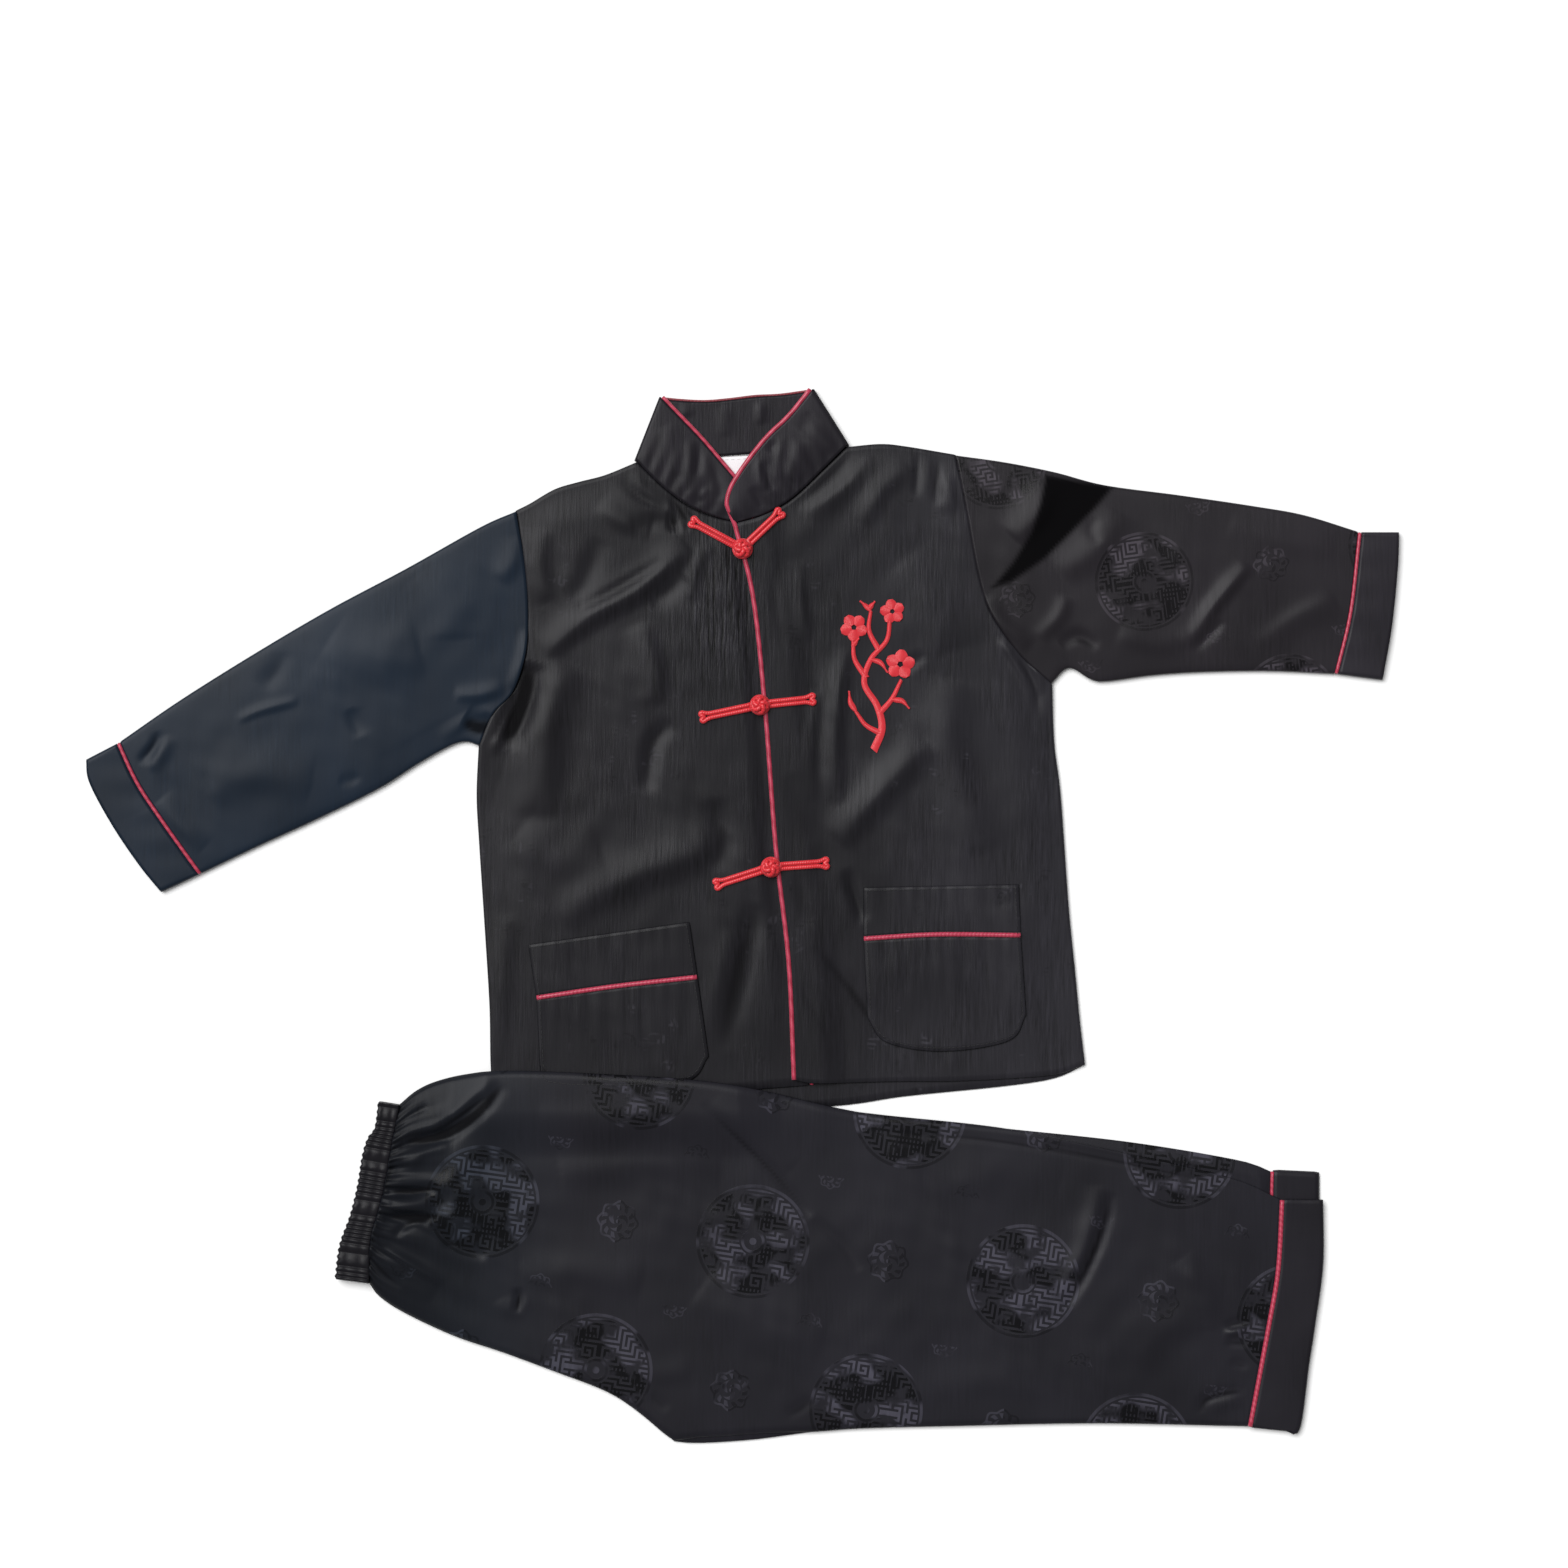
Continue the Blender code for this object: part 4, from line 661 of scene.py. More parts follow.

# %% [markdown]
# ## Red cord, piping and thread
# The piping is a cord in a bias strip of red satin, so it shines pink along the top of the cord
# and is deep red at its sides. The frogs are a brighter satin rat-tail cord. Both get a fine twist
# of ribs that follows the cord: a curve's own UV map runs along it, which a pattern in space
# wouldn't. Besides the real pink sheen, the tops of the ribs and soft patches are painted a paler
# pink, a painted highlight.

# %% Finishes for cords and threads
def red(name, deep, rib_highlight, roughness, ribs, lean, depth):
    """Red satin thread, with ribs that go round the cord as they run along it."""
    finish = Finish(name, roughness, Specular_IOR_Level=0.55, Sheen_Weight=0.35,
                    Sheen_Roughness=0.35)
    finish.shader.inputs["Sheen Tint"].default_value = (1.0, 0.62, 0.66, 1)
    uv = finish.node("ShaderNodeUVMap").outputs[0]
    split = finish.node("ShaderNodeSeparateXYZ", inputs={0: uv})
    along, round_it = Value(finish, split.outputs[0]), Value(finish, split.outputs[1])
    x, y, z = finish.place()
    twist = (along * ribs + round_it * lean).apply("SINE") * 0.5 + 0.5
    patchy = finish.noise(x, y, z, (3.0, 3.0), 1.0)
    # the rib tops and the noise patches get the paler, pinker colour: a painted highlight
    mask = twist * 0.45 + patchy * 0.55
    return finish.finish(finish.blend(mask, deep, rib_highlight), None, twist * depth)


piping_red = red("piping satin", (0.28, 0.008, 0.030), (0.52, 0.046, 0.098), 0.36, 260.0, 6.28,
                 0.04)
# A darker copy of the piping's red for the back of the collar, where only the cord's edge shows:
# painted shade.
shaded_piping_red = red("piping in painted shade", (0.12, 0.006, 0.012), (0.22, 0.012, 0.024), 0.45, 260.0, 6.28,
               0.04)
cord_red = red("frog cord", (0.50, 0.008, 0.014), (0.72, 0.030, 0.042), 0.36, 300.0, 12.6, 0.08)
thread_red = red("embroidery thread", (0.52, 0.012, 0.020), (0.76, 0.050, 0.066), 0.34, 90.0,
                 6.28, 0.02)


def plain_weave(name, colour, pitch, roughness, tint=0.06):
    """A plain weave, over one and under one."""
    finish = Finish(name, roughness)
    x, y, z = finish.place()
    over = (x * (6.2832 / pitch)).apply("SINE") * (y * (6.2832 / pitch)).apply("SINE")
    soil = finish.noise(x, y, z, (9.0, 7.0))
    mask = over * 0.3 + soil * 0.7
    darker = tuple(c * (1 - tint) for c in colour)
    return finish.finish(finish.blend(mask, darker, colour), None, over * 0.03)


label_white = plain_weave("label weave", (0.86, 0.84, 0.86), 0.7, 0.6)
thread_black = plain_weave("black thread", (0.020, 0.019, 0.022), 0.4, 0.5, 0.4)
thread_white = plain_weave("white thread", (0.80, 0.79, 0.80), 0.4, 0.5)
print("materials:", len(bpy.data.materials))

# %% [markdown]
# ## Thin shells
# Each panel is one closed sheet: an upper face, a lower face one wall below it, and a round rim
# between them, because a hem or seam edge is a fold and never a knife edge. Building both faces
# from one grid keeps the wall even, which a remesh wouldn't.

# %% Closed sheets and tubes from grids
def add_piece(name, points, faces, look, replaced=()):
    mesh = bpy.data.meshes.new(name)
    mesh.from_pydata([tuple(p) for p in np.asarray(points, float) * MM], [], faces)
    mesh.materials.append(look)
    mesh.shade_smooth()
    made = bpy.data.objects.new(name, mesh)
    return settle(made, replaced)


def settle(made, replaced=()):
    """Link a finished piece, let it ride, and hide the solids it replaces."""
    if not made.users_collection:
        bpy.context.scene.collection.objects.link(made)
    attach(made, "root")
    if replaced:
        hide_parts(*replaced)
    return made


def quads(rows, columns, closed=False, base=0):
    wide = columns if closed else columns - 1
    return [(base + r * columns + c, base + r * columns + (c + 1) % columns,
             base + (r + 1) * columns + (c + 1) % columns, base + (r + 1) * columns + c)
            for r in range(rows - 1) for c in range(wide)]


def rim_of(rows, columns):
    return ([(0, c) for c in range(columns)] + [(r, columns - 1) for r in range(1, rows)]
            + [(rows - 1, c) for c in range(columns - 2, -1, -1)]
            + [(r, 0) for r in range(rows - 2, 0, -1)])


def shell_points(top, wall, bulge=0.45):
    """Points and faces of a closed sheet from the grid of its upper face."""
    rows, columns = top.shape[:2]
    low = top.copy()
    low[..., 2] -= wall
    rim = rim_of(rows, columns)
    border = np.array([top[r, c] for r, c in rim])
    along = np.roll(border, -1, axis=0)[:, :2] - np.roll(border, 1, axis=0)[:, :2]
    out = np.column_stack([along[:, 1], -along[:, 0]])
    out /= np.linalg.norm(out, axis=1)[:, None] + 1e-9
    middle = border.copy()
    middle[:, :2] += out * wall * bulge
    middle[:, 2] -= wall / 2
    points = np.vstack([top.reshape(-1, 3), low.reshape(-1, 3), middle])
    count = rows * columns
    faces = quads(rows, columns) + [face[::-1] for face in quads(rows, columns, base=count)]
    total = len(rim)
    for k in range(total):
        j = (k + 1) % total
        a, b = rim[k][0] * columns + rim[k][1], rim[j][0] * columns + rim[j][1]
        m, n = 2 * count + k, 2 * count + j
        faces += [(m, n, b, a), (count + a, count + b, n, m)]
    return points, faces


def shell(name, top, wall, look, replaced=()):
    points, faces = shell_points(top, wall)
    return add_piece(name, points, faces, look, replaced)


def mark_shade(piece, values):
    """Write how dark a shell's upper face is, whose points come first in its mesh."""
    marks = np.zeros(len(piece.data.vertices), np.float32)
    marks[:values.size] = values.ravel()
    piece.data.attributes.new("shade", "FLOAT", "POINT").data.foreach_set("value", marks)


def raised(grid, z):
    return np.concatenate([grid, np.broadcast_to(z, grid.shape[:2])[..., None]], axis=2)


def surface_area(grid):
    """Area of a grid of points, in square metres."""
    a, b, c = grid[:-1, :-1], grid[:-1, 1:], grid[1:, :-1]
    if grid.shape[2] == 2:
        u, v = b - a, c - a
        return float(np.abs(u[..., 0] * v[..., 1] - u[..., 1] * v[..., 0]).sum()) * MM * MM
    return float(np.linalg.norm(np.cross(b - a, c - a), axis=2).sum()) * MM * MM


class Stack:
    """The pieces laid down so far, to find how high the next one lies."""

    def __init__(self):
        self.trees = []

    def add(self, *objects):
        bpy.context.view_layer.update()
        graph = bpy.context.evaluated_depsgraph_get()
        self.trees += [BVHTree.FromObject(thing, graph) for thing in objects]

    def height(self, x, y, reach=0.0):
        ring = [(0, 0)]
        if reach:
            ring += [(reach * math.cos(a), reach * math.sin(a))
                     for a in np.linspace(0, 2 * math.pi, 8, endpoint=False)]
        best = 0.0
        for dx, dy in ring:
            start = Vector(((x + dx) * MM, (y + dy) * MM, 0.2))
            for tree in self.trees:
                hit = tree.ray_cast(start, Vector((0, 0, -1)))[0]
                if hit:
                    best = max(best, hit.z / MM)
        return best


stack = Stack()

# %% [markdown]
# ## The back panel
# It lies flat on the table and carries the rest of the jacket. Only a strip of it shows below the
# left front's hem, and its edges show from the sides, so it is a plain shell with a soft rim.

# %% The back panel
left = edge((SIDE_RIGHT, 6 * FINE), (ARMHOLE_RIGHT, 7 * FINE))
right = edge((SIDE_LEFT, 6 * FINE), (ARMHOLE_LEFT, 7 * FINE))
top = edge((SHOULDER_RIGHT, 24), (NECK_BACK, 24), (SHOULDER_LEFT, 24))
back_grid = patch(through(HEM_BACK, 72), top, left, right)
back_panel = shell("back_panel", raised(back_grid, CLOTH), CLOTH, body_satin,
                   ["jacket_back"])
stack.add(back_panel)
print("back panel:", round(surface_area(back_grid), 4), "m2")

# %% [markdown]
# ## The two fronts
# The wearer's left front laps over the right one and climbs 2.8 mm onto it along the front edge.
# A front is sewn to the back at its side seam and shoulder, so it is low there and stands clear
# of the back in between, and it is full at the armhole, where the sleeve's roundness lifts it.

# %% Heights of the fronts
FRONT_ROWS, SIDE_SHARE = 15, 8
LAP_NEAR, LAP_FAR = 16.0, 34.0
BODY_FULL, BODY_UNEVEN, NECK_FULL = 1.5, 0.45, 1.3
LOWEST = -0.2           # a trough in the body cloth goes no deeper


def front_edge_x(y):
    line = through(FRONT_EDGE, 40)
    return np.interp(y, line[:, 1], line[:, 0])


def seam_rise(u_side, v):
    armhole = smooth_step(SIDE_SHARE - 2, SIDE_SHARE + 1, v * FRONT_ROWS)
    shoulder = 1 - smooth_step(0.93, 1.0, v)
    inner = smooth_step(0.0, 0.16, u_side)
    hem = smooth_step(0.02, 0.28, v)
    return np.maximum(armhole * shoulder, inner * shoulder) * hem


def front_steps():
    return np.meshgrid(np.linspace(0, 1, FRONT_COLUMNS + 1),
                       np.linspace(0, 1, FRONT_ROWS * FINE + 1))


def body_folds(x, y):
    return crease_height(JACKET_CREASES, x, y) * FOLD_LIFT + unevenness(x, y, BODY_UNEVEN)


# %% The wearer's left front, on top
left = through(FRONT_EDGE, FRONT_ROWS * FINE)
right = edge((SIDE_LEFT, SIDE_SHARE * FINE), (ARMHOLE_LEFT, 7 * FINE))
top = edge((NECK_LEFT, FRONT_COLUMNS // 2), (SHOULDER_LEFT, FRONT_COLUMNS // 2))
over_grid = patch(through(HEM_LEFT, FRONT_COLUMNS), top, left, right)
u, v = front_steps()
x, y = over_grid[..., 0].copy(), over_grid[..., 1].copy()
lap = 1 - smooth_step(LAP_NEAR, LAP_FAR, x - front_edge_x(y))
rise = seam_rise(1 - u, v)
from_edge = x - front_edge_x(y)
loose = (0.35 + 0.65 * rise) * (1 - 0.6 * lap) * smooth_step(2, 12, from_edge)
soft = BODY_FULL * rise * smooth_step(0, 0.2, u) * (1 - lap) + body_folds(x, y) * loose
soft = np.maximum(soft, LOWEST - 0.9 * lap)
neck = NECK_FULL * smooth_step(0.9, 1.0, v) * smooth_step(0.5, 0.3, u) * (1 - lap)
z = UNDER_FRONT + PLACKET_RISE * lap + soft + neck + CLOTH
over_grid[:, 0, 0] += SEAM_SLOT
front_left = shell("front_panel_left", raised(over_grid, z), SHELL, body_satin,
                   ["jacket_front_left"])
mark_shade(front_left, fold_shade(JACKET_CREASES, x, y))
print("left front's highest point:", round(float(z.max()), 2), "mm")

# %% The wearer's right front, below
left = edge((SIDE_RIGHT, SIDE_SHARE * FINE), (ARMHOLE_RIGHT, 7 * FINE))
right = through(FRONT_EDGE, FRONT_ROWS * FINE) + np.array([UNDERLAP, 0])
right[0], right[-1] = HEM_RIGHT[-1], NECK_RIGHT[-1]
top = edge((SHOULDER_RIGHT, FRONT_COLUMNS - 66), (NECK_RIGHT, 66))
under_grid = patch(through(HEM_RIGHT, FRONT_COLUMNS), top, left, right)
u, v = front_steps()
x, y = under_grid[..., 0], under_grid[..., 1]
lap = smooth_step(-14, -3, x - front_edge_x(y))
rise = seam_rise(u, v)
loose = (0.35 + 0.65 * rise) * (1 - smooth_step(-9, -2, x - front_edge_x(y)))
soft = np.maximum(BODY_FULL * rise * (1 - lap) + body_folds(x, y) * loose, LOWEST)
front_right = shell("front_panel_right", raised(under_grid, UNDER_FRONT + soft + CLOTH), SHELL,
                    body_satin, ["jacket_front_right"])
mark_shade(front_right, fold_shade(JACKET_CREASES, x, y))
stack.add(front_left, front_right)
print("fronts:", round(surface_area(over_grid), 4), round(surface_area(under_grid), 4), "m2")

# %% [markdown]
# ## Sleeves and cuffs
# A sleeve is a tube pressed flat: two layers, with a round fold along its upper and its lower
# edge, 4.2 mm high in all. Its underside lies flat on the table, and its upper cloth carries the
# creases. A cylinder squashed with a lattice would thin its wall, so each section is drawn as a
# closed ring, and Solidify gives the wall inwards.

# %% Rings, tubes and sleeves
EDGE_TURN = [math.radians(a) for a in (67, 45, 22, 0, -22, -45, -67)]


def evenly(row, start, end):
    steps = np.linalg.norm(np.diff(row, axis=0), axis=1)
    along = np.concatenate([[0], np.cumsum(steps)])
    places = np.linspace(start, along[-1] - end, len(row))
    return np.column_stack([np.interp(places, along, column) for column in row.T])


def ring(row, height, tops, wall_in=0.0):
    """One section of a flattened tube, from the points of a row across it."""
    r = height / 2 - wall_in
    first, last = row[0] - row[1], row[-1] - row[-2]
    first, last = first / np.linalg.norm(first), last / np.linalg.norm(last)
    flat = evenly(row, height / 2, height / 2)
    upper = [(*p, z - wall_in) for p, z in zip(flat, tops)]
    lower = [(*p, wall_in) for p in flat[::-1]]
    middle = height / 2
    far = [(*(flat[-1] + last * r * math.cos(a)), middle + r * math.sin(a)) for a in EDGE_TURN]
    near = [(*(flat[0] + first * r * math.cos(a)), middle + r * math.sin(a))
            for a in reversed(EDGE_TURN)]
    return upper + far + lower + near


def tube(name, sections, look, wall, replaced):
    """An open tube of cloth with its wall inside the sections."""
    count = len(sections[0])
    made = add_piece(name, [p for s in sections for p in s],
                     quads(len(sections), count, closed=True), look, replaced)
    shape = bmesh.new()
    shape.from_mesh(made.data)
    bmesh.ops.recalc_face_normals(shape, faces=shape.faces)
    middle = np.mean([p[2] for p in sections[0]]) * MM
    if sum(f.normal.z * (f.calc_center_median().z - middle) for f in shape.faces) < 0:
        bmesh.ops.reverse_faces(shape, faces=shape.faces)
    shape.to_mesh(made.data)
    shape.free()
    solid = made.modifiers.new("cloth thickness", "SOLIDIFY")
    solid.thickness, solid.offset = wall * MM, -1.0
    return made


def square_off(line, toward):
    along = np.gradient(line, axis=0)
    square = np.column_stack([-along[:, 1], along[:, 0]])
    square /= np.linalg.norm(square, axis=1)[:, None]
    return square * np.sign(square @ toward)[:, None]


def sleeve_grid(top, low, armhole, seam, rows, columns):
    start, end = through(armhole, columns)[::-1], through(seam, columns)[::-1]
    grid = patch(start, end, through(top, rows), through(low, rows))
    toward = grid[-1].mean(axis=0) - grid[0].mean(axis=0)
    grid[0] += square_off(grid[0], toward) * 0.1
    grid[-1] -= square_off(grid[-1], toward) * (SEAM_SLOT - 0.3)
    return grid


SLEEVE_ROWS, SLEEVE_COLUMNS = 130, 72


def sleeve_tops(row, v):
    across = np.sin(np.pi * np.linspace(0, 1, len(row))) ** 0.6
    crown = (0.4 + 1.3 * np.sin(np.pi * v)) * across
    pressed = crease_height(SLEEVE_CREASES, row[:, 0], row[:, 1]) * FOLD_LIFT * across
    drift = unevenness(row[:, 0], row[:, 1], 0.4) * across
    return SLEEVE_EDGE + np.maximum(crown + pressed + drift, -1.2 * across)


def sleeve_and_cuff(side, top, low, armhole, seam, end, look):
    rows, columns = SLEEVE_ROWS, SLEEVE_COLUMNS
    grid = sleeve_grid(top, low, armhole, seam, rows, columns)
    tops = [sleeve_tops(row, v) for row, v in zip(grid, np.linspace(0, 1, rows + 1))]
    sections = [ring(row, SLEEVE_EDGE, heights) for row, heights in zip(grid, tops)]
    sleeve = tube(f"sleeve_cloth_{side}", sections, look, SHELL, [f"sleeve_{side}"])
    seam_line, end_line = through(seam, columns)[::-1], through(end, columns)[::-1]
    along = end_line - seam_line
    along /= np.linalg.norm(along, axis=1)[:, None]
    seam_line = seam_line + along * (SEAM_SLOT - 0.3)
    height = SLEEVE_EDGE + CUFF_EXTRA
    rings = []
    for t in np.linspace(0, 1, 13):
        flat = seam_line * (1 - t) + end_line * t
        heights = tops[-1] * (1 - t) + height * t + 0.15 * math.sin(math.pi * t)
        rings.append(ring(flat, height, heights + 0.12 * np.sin(flat[:, 1] * 0.31) * (1 - t)))
    cuff_look = look if side == "right" else cuff_satin
    cuff = tube(f"cuff_band_{side}", rings, cuff_look, BAND - 0.2, [f"cuff_{side}"])
    return grid, tops[-1], sleeve, cuff, rings


# %% The two sleeves
left_arm = sleeve_and_cuff("left", SLEEVE_TOP_LEFT, SLEEVE_LOW_LEFT, ARMHOLE_LEFT,
                           CUFF_SEAM_LEFT, CUFF_END_LEFT, sleeve_satin)
right_arm = sleeve_and_cuff("right", SLEEVE_TOP_RIGHT, SLEEVE_LOW_RIGHT, ARMHOLE_RIGHT,
                            CUFF_SEAM_RIGHT, CUFF_END_RIGHT, blue_satin)
stack.add(left_arm[2], left_arm[3], right_arm[2], right_arm[3])
for side, arm in (("left", left_arm), ("right", right_arm)):
    print(side, "sleeve:", len(arm[2].data.polygons), "faces")

# %% [markdown]
# ## A fold in shadow
# One deep fold lies across the head of the left sleeve. Satin that turns away from the light goes
# almost black, with a hard edge, so the fold's inner side is marked on the sleeve's points, as the
# bottoms of the troughs are, and the satin reads that mark.

# %% The wedge of the shadowed fold, marked on the sleeve
WEDGE = np.array([(188.9, 276.0), (185.2, 256.6), (179.6, 239.7), (168.3, 220.9), (154.0, 203.6),
                  (168.3, 207.8), (188.9, 222.2), (204.6, 237.8), (220.2, 253.4), (232.4, 268.0)])


def inside_by(polygon, x, y):
    """How far a point lies inside an outline, in millimetres, or less than zero outside it."""
    nearest, inside = np.full(np.shape(x), np.inf), np.zeros(np.shape(x), bool)
    for a, b in zip(polygon, np.roll(polygon, -1, axis=0)):
        d = b - a
        t = np.clip(((x - a[0]) * d[0] + (y - a[1]) * d[1]) / (d @ d), 0, 1)
        nearest = np.minimum(nearest, np.hypot(x - a[0] - t * d[0], y - a[1] - t * d[1]))
        crosses = (a[1] > y) != (b[1] > y)
        inside ^= crosses & (x < a[0] + (y - a[1]) * d[0] / (d[1] + 1e-9))
    return np.where(inside, nearest, -nearest)


for arm in (left_arm, right_arm):
    x, y, z = np.array([vertex.co for vertex in arm[2].data.vertices]).T / MM
    marks = fold_shade(SLEEVE_CREASES, x, y)
    if arm is left_arm:
        marks = np.maximum(marks, smooth_step(-1.2, 2.2, inside_by(WEDGE, x, y)))
    marks = marks * (z > SLEEVE_EDGE / 2)
    mark_shade(arm[2], marks)
    print("points in shadow:", int((marks > 0.5).sum()))

# %% [markdown]
# ## The stand collar
# The collar is one strip folded round the neck and laid flat: a back band on the table, a fold at
# each side, and two wings over it that meet at the front edge. A bent path with a thick profile
# would twist at the folds, so the strip is a loft through stations, each a point on the neck seam
# and a point on the upper edge.

# %% The collar's stations: base x, y, z, top x, y, z
RIGHT_WING = [(5.0, 244.4, 2.4, 5.3, 252.0, 2.5), (-4.0, 246.0, 2.5, 3.5, 262.0, 2.8),
              (-17.0, 249.2, 2.8, -4.0, 273.0, 4.0), (-31.0, 254.8, 3.1, -14.0, 285.0, 4.1),
              (-44.0, 262.9, 3.4, -26.0, 299.0, 3.9), (-55.0, 272.4, 3.8, -38.0, 311.5, 4.0),
              (-65.9, 283.5, 4.0, -50.0, 324.0, 4.0)]
LEFT_WING = [(64.6, 293.1, 4.0, 42.2, 328.8, 4.0), (50.0, 278.6, 4.4, 29.2, 312.8, 4.6),
             (38.0, 266.8, 4.8, 16.0, 300.0, 5.4), (27.0, 258.0, 5.0, 5.3, 287.0, 6.4),
             (14.0, 251.0, 5.1, -3.7, 274.0, 6.9), (3.0, 247.6, 5.1, -8.8, 264.0, 6.2),
             (-5.0, 245.4, 5.1, -10.2, 254.5, 5.9)]
BACK_BAND_TOP = [(-50.0, 324.0), (-39.2, 322.9), (-23.6, 322.2), (-7.9, 323.5), (7.7, 325.4),
                 (23.3, 326.2), (42.2, 328.8)]
BACK_BAND_Z = 0.9
LEFT_OUT, RIGHT_OUT = (-0.93, 0.36), (0.84, 0.54)


def turn_over(wing_end, back_end, outward):
    """Stations of the fold where a wing turns under into the back band."""
    stations = []
    for angle in (60, 20, -20, -60):
        a = math.radians(angle)
        row = []
        for k in (0, 3):
            high, low = np.array(wing_end[k:k + 3]), np.array(back_end[k:k + 3])
            r = (high[2] - low[2]) / 2
            flat = high[:2] + np.array(outward) * r * math.cos(a)
            row += [*flat, low[2] + r + r * math.sin(a)]
        stations.append(row)
    return stations


def collar_strip():
    tops = through(BACK_BAND_TOP, 6)
    first, last = np.array(RIGHT_WING[-1][:2]), np.array(LEFT_WING[0][:2])
    back = [[*(first + (last - first) * t), BACK_BAND_Z, *edge_point, BACK_BAND_Z]
            for t, edge_point in zip(np.linspace(0, 1, 7), tops)]
    return (RIGHT_WING + turn_over(RIGHT_WING[-1], back[0], LEFT_OUT) + back
            + turn_over(LEFT_WING[0], back[-1], RIGHT_OUT)[::-1] + LEFT_WING)


# %% The collar's creases and cloth
COLLAR_CREASES = creases(
    ([(-33, 297), (-34, 278), (-34, 262)], 5, 0.6, 0.9), ([(-27, 297), (-29, 275)], 3, 0.8, -0.9),
    ([(-19, 288), (-13, 260)], 4, 0.8, -0.7), ([(-42, 263), (-44, 252)], 2.5, 0.8, 0.7),
    ([(-34, 265), (-37, 254)], 2.5, 0.8, 0.7), ([(-49, 268), (-55, 259)], 2.5, 0.8, 0.6),
    ([(-27, 260), (-22, 267)], 2.5, 0.8, 0.6), ([(-50, 305), (-44, 290), (-42, 275)], 7, 0.7, 0.6),
    ([(20, 297), (16, 290)], 3.5, 0.8, -0.8), ([(13, 283), (15, 274), (18, 265)], 3, 0.8, -0.9),
    ([(6, 267), (13, 252)], 3, 0.8, -0.8), ([(9, 288), (11, 276), (13, 266)], 3.5, 0.7, 0.7),
    ([(36, 297), (33, 285), (29, 272)], 7, 0.6, 0.8), ([(45, 313), (36, 303)], 6, 0.7, -0.6),
    ([(55, 290), (46, 300), (40, 312)], 6, 0.6, 0.6), ([(24, 300), (22, 284), (22, 272)], 3, 0.7, 0.5),
    ([(10, 322), (11, 308)], 4, 0.6, 0.7), ([(-38, 322), (-35, 312)], 4, 0.6, 0.6),
    ([(-12, 320), (-11, 300)], 5, 0.8, 0.4))
COLLAR_ACROSS = 22
stations = through(collar_strip(), 210)
share = np.linspace(0, 1, len(stations))
wing = np.maximum(1 - smooth_step(0.24, 0.34, share), smooth_step(0.66, 0.76, share))
base, top_edge = stations[:, :3], stations[:, 3:]
along = (top_edge - base) / np.linalg.norm(top_edge - base, axis=1)[:, None]
low, high = base + along * 0.2, top_edge - along * (SEAM_SLOT - 0.5)
t = np.linspace(0, 1, COLLAR_ACROSS + 1)[None, :]
points = low[:, None] + (high - low)[:, None] * t[..., None]
pull = 0.35 * np.sin(share * 190)[:, None] * (1 - t) ** 2 * np.minimum(t * 8, 1)
pressed = crease_height(COLLAR_CREASES, points[..., 0], points[..., 1])
pressed = pressed * np.minimum(t * 5, 1) * np.minimum((1 - t) * 5, 1)
points[..., 2] += wing[:, None] * (0.75 * np.sin(np.pi * t) + pull) + pressed
points[..., 2] = np.maximum(points[..., 2], (BAND - 0.2) / 2)
points = points.reshape(-1, 3)
collar_cloth = add_piece("collar_cloth", points, quads(len(stations), COLLAR_ACROSS + 1),
                         inner_satin, ["collar"])
solid = collar_cloth.modifiers.new("folded band", "SOLIDIFY")
solid.thickness, solid.offset = (BAND - 0.2) * MM, 0.0
stack.add(collar_cloth)
print("collar:", round(length_of(stations[:, :3])), "mm at the neck seam")

# %% [markdown]
# ## The neck label
# A small woven tape is sewn under the back of the neck. It is left blank.

# %% The label
low, high = through([(-13.5, 272.4), (8.0, 273.6)], 12), through([(-14.5, 286.2), (7.2, 287.4)], 12)
left, right = through([low[0], high[0]], 8), through([low[-1], high[-1]], 8)
label_grid = patch(low, high, left, right)
neck_label = shell("neck_tape", raised(label_grid, UNDER_FRONT + 1.0), 0.8, label_white,
                   ["neck_label"])
print("label:", round(surface_area(label_grid) * 1e6), "mm2")

# %% [markdown]
# ## Patch pockets
# A pocket is a rectangle with round lower corners, and its top is turned out as a band with
# piping under it. It is made from the front's own surface, moved out by a cloth's thickness, so
# it follows every crease that it lies on.

# %% The pockets' tables and cloth
Pocket = namedtuple("Pocket", "side top seam bottom")
POCKETS = [
    Pocket("right", [(-133.6, -18.4), (-33.6, -4.4)],
           [(-128.6, -51.3), (-80, -44.2), (-28.6, -38.4)],
           [(-126.5, -93), (-121, -105), (-75, -107), (-34, -103), (-21.7, -88)]),
    Pocket("left", [(75.8, 17.2), (172.1, 19.1)],
           [(75.8, -14.4), (120.2, -11.8), (173.3, -12.2)],
           [(78.4, -64), (90, -79), (125, -84.6), (166, -78), (176.8, -62)]),
]


def settled(grid, rise):
    return np.array([[stack.height(px, py) for px, py in row] for row in grid]) + rise


def pocket_cloth(name, bottom, upper, rows, replaced):
    sides = [through([bottom[k], upper[k]], rows) for k in (0, -1)]
    grid = patch(bottom, upper, *sides)
    ripple = np.sin(grid[..., 0] * 0.62 + 1.7 * np.sin(grid[..., 0] * 0.11))
    fade = np.linspace(0, 1, rows + 1)[:, None] ** 1.5
    z = settled(grid, GAP + CLOTH) + unevenness(grid[..., 0] * 1.3, grid[..., 1], 0.25)
    z = z + 0.16 * ripple * fade
    piece = shell(name, raised(grid, z), SHELL, body_satin, [replaced])
    return grid, piece


